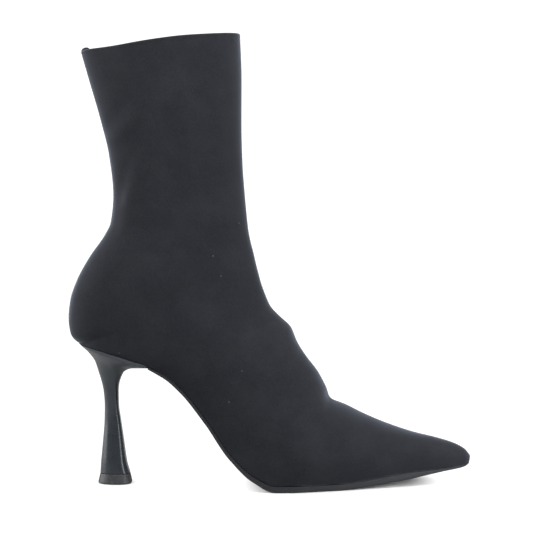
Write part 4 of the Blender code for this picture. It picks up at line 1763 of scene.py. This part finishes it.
@dataclass
class Heel(Piece):
    """The lacquered heel, from its seat down its neck to the flared foot."""

    lip_reach: float = 0.0203
    lacquer: float = 0.0002
    foot_share: float = 0.86
    top_piece_height: float = 0.0059
    top_piece_depth: float = 0.0199
    top_piece_width: float = 0.0190
    top_piece_set_back: float = 0.0005
    top_piece_breast: float = 0.50
    breast_round: float = 3.4
    corner_share: float = 0.05
    corner_least: float = 0.5
    steps_down: int = 150
    steps_round: int = 30

    name = "heel_block"
    nodes = ("heel",)
    slot = "lacquer"
    crisp_degrees = 60.0
    finishes = (LacquerFinish(),)
    corner_places: ClassVar[tuple[float, ...]] = (0.25, 0.5, 0.75, 1.0)

    def _levels(self) -> list[HeelLevel]:
        """Return the table's levels in metres, and the one at the top piece.

        Returns:
            The levels, from the seat down.
        """
        last = self.last
        levels = []
        for row in HEEL_SECTIONS:
            behind, ahead, width = {
                "seat": (last.seat_back, self.lip_reach, last.seat_width),
                "column": (self.top_piece_depth, self.top_piece_depth, self.top_piece_width),
            }[row.size]
            levels.append(HeelLevel(
                row.back * behind, row.back_z * last.heel_height,
                row.front * ahead, row.front_z * last.heel_height,
                row.half * width, row.breast))
        shrink = (self.foot_share - 1) * self.top_piece_depth
        depth, width = self.top_piece_depth + shrink, self.top_piece_width + shrink
        floor = self.top_piece_height + last.gap
        middle = -self.top_piece_set_back
        levels.append(HeelLevel(
            middle - depth / 2, floor, middle + depth / 2, floor, width / 2, self.top_piece_breast))
        return levels

    def outline(self, level: HeelLevel, bow: float = 0.0) -> np.ndarray:
        """Return a level's closed outline, round at the back and flat at the breast.

        Args:
            level: The level.
            bow: How much of the seat's own curve the level has.

        Returns:
            The ring of points, the last on the first.
        """
        last = self.last
        turn = last.seat_round / (self.lip_reach - last.seat_back)
        bends = np.linspace(0.0, math.pi / 2, self.steps_round)
        shares = [(1 - math.cos(bend)) * (1 - self.corner_share) for bend in bends]
        rows = [(share, self._half(share, turn, level)) for share in shares]
        face = self._half(1.0, turn, level)
        depth = level.front - level.back
        inner = max(face - self.corner_share * depth, face * self.corner_least)
        start = rows[-1]
        for t in self.corner_places:
            share = (1 - t) ** 2 * start[0] + 2 * t * (1 - t) + t * t
            half = (1 - t) ** 2 * start[1] + 2 * t * (1 - t) * face + t * t * inner
            rows.append((share, half))
        rows += [(1.0, inner / 2), (1.0, 0.0)]
        side = [(level.back + share * depth, half, self._height(level, share, bow))
                for share, half in rows]
        lateral = [(x, -half, z) for x, half, z in side]
        medial = [(x, half, z) for x, half, z in reversed(side[:-1])]
        return np.array(lateral + medial)

    def _half(self, share: float, turn: float, level: HeelLevel) -> float:
        """Return the half width at a share of the way from the back to the breast.

        Args:
            share: The share of the way.
            turn: The share at which the round back ends.
            level: The level.

        Returns:
            The half width.
        """
        late = max(0.0, (share - turn) / (1 - turn))
        narrowing = 1 - (1 - level.breast) * late ** self.breast_round
        return level.half * round_share(share, turn) * narrowing

    def _height(self, level: HeelLevel, share: float, bow: float) -> float:
        """Return the height of a level at a share of its depth, bowed as the seat is.

        Args:
            level: The level.
            share: The share of its depth.
            bow: How much of the seat's own curve it has.

        Returns:
            The height.
        """
        last = self.last
        straight = level.back_z + share * (level.front_z - level.back_z)
        x = last.seat_back + share * (self.lip_reach - last.seat_back)
        seat = last.feather_height(x) - last.gap * last.feather_lean(x)
        return straight + (seat - straight) * bow

    def skin(self) -> Skin:
        """Return the heel's closed surface.

        Returns:
            The surface.
        """
        levels = self._levels()
        places = [0.0]
        for before, after in zip(levels, levels[1:]):
            low = math.hypot(after.back - before.back, after.back_z - before.back_z)
            high = math.hypot(after.front - before.front, after.front_z - before.front_z)
            places.append(places[-1] + (low + high) / 2)
        curves = [MonotoneCurve(places, list(column)) for column in zip(*levels)]
        rings = []
        for place in np.linspace(0.0, places[-1], self.steps_down):
            level = HeelLevel(*[curve(place) for curve in curves])
            level = level._replace(
                back=level.back - self.lacquer, front=level.front + self.lacquer,
                half=level.half + self.lacquer)
            bow = max(0.0, 1 - place / places[1]) if place < places[1] else 0.0
            rings.append(self.outline(level, bow))
        return self._closed(rings)

    @staticmethod
    def _closed(rings: Sequence[np.ndarray]) -> Skin:
        """Return the surface through a stack of rings.

        Args:
            rings: The rings, each closed between its two sides at the stack's ends.

        Returns:
            The closed surface.
        """
        skin = Skin()
        skin.grid(np.array(rings))
        for ring in (rings[0], rings[-1]):
            count = (len(ring) + 1) // 2
            skin.grid(np.stack([ring[:count], ring[::-1][:count]]))
        return skin


@dataclass
class TopPiece(Heel):
    """The small tread under the heel, which stands on the floor."""

    step: float = 0.0003
    arris: float = 0.0008
    step_cuts: int = 4
    side_cuts: int = 8
    arris_cuts: int = 6

    name = "tread"
    nodes = ("top_piece",)
    slot = "tread"
    finishes = (RubberFinish(),)

    def _level(self, height: float, grow: float) -> HeelLevel:
        """Return a flat level of the tread, grown outward by a small amount.

        Args:
            height: Its height.
            grow: How far it is grown.

        Returns:
            The level.
        """
        depth = self.top_piece_depth + 2 * grow
        width = self.top_piece_width + 2 * grow
        middle = -self.top_piece_set_back
        return HeelLevel(middle - depth / 2, height, middle + depth / 2, height,
                         width / 2, self.top_piece_breast)

    def skin(self) -> Skin:
        """Return the tread's closed surface, with its lower edge rounded.

        Returns:
            The surface.
        """
        taper = (self.foot_share - 1) * self.top_piece_depth / 2 + self.step
        levels = [self._level(self.top_piece_height, taper - self.step)]
        for turn in np.linspace(0.0, math.pi / 2, self.step_cuts):
            drop = self.step * (1 - math.cos(turn))
            grow = taper - self.step * (1 - math.sin(turn))
            levels.append(self._level(self.top_piece_height - drop, grow))
        side_top = self.top_piece_height - self.step
        for share in np.linspace(0.0, 1.0, self.side_cuts)[1:]:
            height = side_top + (self.arris - side_top) * share
            levels.append(self._level(height, taper * (1 - share)))
        for turn in np.linspace(0.0, math.pi / 2, self.arris_cuts)[1:]:
            height = self.arris * (1 - math.sin(turn))
            levels.append(self._level(height, -self.arris * (1 - math.cos(turn))))
        return self._closed([self.outline(level) for level in levels])


# The studio

@dataclass(frozen=True)
class FloorFinish(Finish):
    """Plain pale floor, which glows far away from the boot as a lit backdrop does."""

    colour: Colour = (0.46, 0.46, 0.46)
    glow: Colour = (1.0, 1.0, 1.0)
    dark: Colour = (0.0, 0.0, 0.0)
    middle: tuple[float, float, float] = (0.09, 0.0, 0.0)
    near: float = 0.20
    far: float = 0.60
    title: str = "floor_pale"

    def constants(self) -> dict[str, object]:
        """Return what is the same all over, by the shader's socket."""
        return {
            "Base Color": self.colour,
            "Roughness": 0.9,
            "Specular IOR Level": 0.1,
            "Emission Strength": 0.6,
        }

    def varying(self, draft: NodeDraft) -> dict[str, Value]:
        """Return what changes over the surface, by the shader's socket.

        Args:
            draft: The material's nodes.

        Returns:
            The value of each socket.
        """
        away = draft.distance(draft.object_place(), self.middle)
        return {"Emission Color": draft.blend(away.rise(self.near, self.far), self.dark, self.glow)}


@dataclass(frozen=True)
class DomeFinish(Finish):
    """White surroundings that shine by themselves."""

    glow: Colour = (1.0, 1.0, 1.0)
    title: str = "dome_white"

    def constants(self) -> dict[str, object]:
        """Return what is the same all over, by the shader's socket."""
        return {
            "Base Color": (0.0, 0.0, 0.0),
            "Specular IOR Level": 0.0,
            "Emission Color": self.glow,
            "Emission Strength": 1.2,
        }


@dataclass(frozen=True)
class HazeFinish(DomeFinish):
    """White veil over the floor, clear only where the boot's own shadow lies."""

    sole_middle: tuple[float, float, float] = (0.134, 0.0, 0.0)
    sole_reach: tuple[float, float] = (0.054, 0.100)
    sole_near: float = 0.45
    sole_far: float = 1.40
    heel_near: float = 0.006
    heel_far: float = 0.016
    title: str = "haze_white"

    def varying(self, draft: NodeDraft) -> dict[str, Value]:
        """Return what changes over the surface, by the shader's socket.

        Args:
            draft: The material's nodes.

        Returns:
            The value of each socket.
        """
        place = draft.object_place()
        x, y, _ = draft.parts(place)
        along = (x - self.sole_middle[0]) * (1 / self.sole_reach[0])
        across = (y - self.sole_middle[1]) * (1 / self.sole_reach[1])
        sole = (along * along + across * across).rise(self.sole_near, self.sole_far)
        heel = draft.distance(place, (0.0, 0.0, 0.0)).rise(self.heel_near, self.heel_far)
        return {"Alpha": sole * heel}


@dataclass(frozen=True)
class FlagFinish(Finish):
    """Black cloth of a studio flag."""

    colour: Colour = (0.03, 0.03, 0.03)
    title: str = "flag_black"

    def constants(self) -> dict[str, object]:
        """Return what is the same all over, by the shader's socket."""
        return {"Base Color": self.colour, "Roughness": 1.0, "Specular IOR Level": 0.0}


class Softbox(NamedTuple):
    """A soft area light, which may be kept out of the lacquer's reflections."""

    name: str
    place: tuple[float, float, float]
    target: tuple[float, float, float]
    width: float
    height: float
    watts: float
    shines: bool = True


@dataclass
class Studio:
    """The floor, the soft lights and the camera at the photograph's angle."""

    camera_place: tuple[float, float, float] = (0.09133, -1.040, 0.1738)
    camera_target: tuple[float, float, float] = (0.09133, 0.0, 0.1261)
    lens: float = 117.64
    sensor: float = 36.0
    floor_size: float = 8.0
    floor_drop: float = 0.00015
    sky: float = 0.14
    dome_radius: float = 6.0
    flag_y: float = -1.30
    flag_half: float = 1.10
    flag_top: float = 1.60
    softboxes: tuple[Softbox, ...] = field(default=(
        Softbox("top_box", (0.10, 0.10, 0.85), (0.09, 0.0, 0.10), 0.8, 0.8, 5.4),
        Softbox("key_box", (0.02, -0.30, 0.56), (0.03, 0.0, 0.24), 0.26, 0.18, 5.0),
        Softbox("left_box", (-0.93, 0.08, 0.35), (0.03, 0.0, 0.12), 0.8, 0.7, 11.0),
        Softbox("right_box", (0.90, -0.40, 0.35), (0.06, 0.0, 0.12), 0.3, 0.7, 7.5),
        Softbox("back_box", (-0.42, -0.50, 0.30), (0.0, 0.0, 0.14), 0.30, 0.30, 1.8, False),
        Softbox("toe_box", (0.36, -0.16, 0.08), (0.18, 0.0, 0.03), 0.10, 0.10, 1.25, False),
    ))

    def build(self) -> None:
        """Make the floor, the sky, the lights and the camera."""
        bpy.context.scene.view_settings.view_transform = "Standard"
        self._floor()
        self._dome()
        self._flag()
        self._sky()
        for softbox in self.softboxes:
            self._light(softbox)
        self._camera()
        LOG.info("studio: %d soft lights", len(self.softboxes))

    @staticmethod
    def _sheet(name: str, corners: Sequence[Sequence[float]], finish: Finish) -> bpy.types.Object:
        """Make a flat sheet that belongs to the studio.

        Args:
            name: Its name.
            corners: Its four corners.
            finish: Its finish.

        Returns:
            The sheet.
        """
        mesh = bpy.data.meshes.new(name)
        mesh.from_pydata(corners, [], [(0, 1, 2, 3)])
        mesh.materials.append(finish.make())
        sheet = bpy.data.objects.new(name, mesh)
        bpy.context.scene.collection.objects.link(sheet)
        return sheet

    def _level_sheet(self, name: str, half: float, z: float, finish: Finish) -> bpy.types.Object:
        """Make a level square sheet about the origin.

        Args:
            name: Its name.
            half: Half of its side.
            z: Its height.
            finish: Its finish.

        Returns:
            The sheet.
        """
        square = [(-half, -half, z), (half, -half, z), (half, half, z), (-half, half, z)]
        return self._sheet(name, square, finish)

    def _floor(self) -> None:
        """Make the pale floor."""
        self._level_sheet("floor", self.floor_size / 2, -self.floor_drop, FloorFinish())

    def _dome(self) -> None:
        """Make the white surroundings and the floor's veil, which only the camera sees."""
        mesh = bpy.data.meshes.new("dome")
        body = bmesh.new()
        bmesh.ops.create_uvsphere(body, u_segments=48, v_segments=24, radius=self.dome_radius)
        body.to_mesh(mesh)
        body.free()
        mesh.materials.append(DomeFinish().make())
        dome = bpy.data.objects.new("dome", mesh)
        bpy.context.scene.collection.objects.link(dome)
        haze = self._level_sheet("haze", self.dome_radius, -self.floor_drop / 3, HazeFinish())
        for seen in (dome, haze):
            seen.visible_diffuse = False
            seen.visible_glossy = False
            seen.visible_transmission = False
            seen.visible_shadow = False

    def _flag(self) -> None:
        """Make the black flag behind the camera, which keeps the boot's near side dark."""
        low, high = self.camera_place[0] - self.flag_half, self.camera_place[0] + self.flag_half
        corners = [(low, self.flag_y, 0.0), (high, self.flag_y, 0.0),
                   (high, self.flag_y, self.flag_top), (low, self.flag_y, self.flag_top)]
        flag = self._sheet("flag", corners, FlagFinish())
        flag.visible_camera = False

    def _sky(self) -> None:
        """Make the even white surroundings."""
        world = bpy.data.worlds.new("studio")
        world.use_nodes = True
        background = world.node_tree.nodes["Background"]
        background.inputs["Color"].default_value = (1.0, 1.0, 1.0, 1.0)
        background.inputs["Strength"].default_value = self.sky
        bpy.context.scene.world = world

    @staticmethod
    def _aim(thing: bpy.types.Object, place: Sequence[float], target: Sequence[float]) -> None:
        """Put a light or a camera in its place and turn it to its target."""
        thing.location = place
        thing.rotation_euler = (Vector(target) - Vector(place)).to_track_quat("-Z", "Y").to_euler()

    def _light(self, softbox: Softbox) -> None:
        """Make a soft area light.

        Args:
            softbox: The light's sizes and place.
        """
        data = bpy.data.lights.new(softbox.name, "AREA")
        data.shape = "RECTANGLE"
        data.size, data.size_y = softbox.width, softbox.height
        data.energy = softbox.watts
        light = bpy.data.objects.new(softbox.name, data)
        light.visible_glossy = softbox.shines
        bpy.context.scene.collection.objects.link(light)
        self._aim(light, softbox.place, softbox.target)

    def _camera(self) -> None:
        """Make the camera."""
        data = bpy.data.cameras.new("camera")
        data.sensor_width = self.sensor
        data.lens = self.lens
        camera = bpy.data.objects.new("camera", data)
        bpy.context.scene.collection.objects.link(camera)
        self._aim(camera, self.camera_place, self.camera_target)
        bpy.context.scene.camera = camera


def corners(bounds: tuple[Vector, Vector]) -> list[list[float]]:
    """Return a box's two corners as plain lists."""
    return [[round(value, 6) for value in corner] for corner in bounds]


def main() -> None:
    """Load the frame, build each class in order and report it."""
    logging.basicConfig(level=logging.INFO, format="%(name)s %(message)s")
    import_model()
    last = Last()
    for maker in (Upper, SeamEnd, Insole, Outsole, Heel, TopPiece):
        maker(last).build()
    Studio().build()


if __name__ == "__main__":
    main()
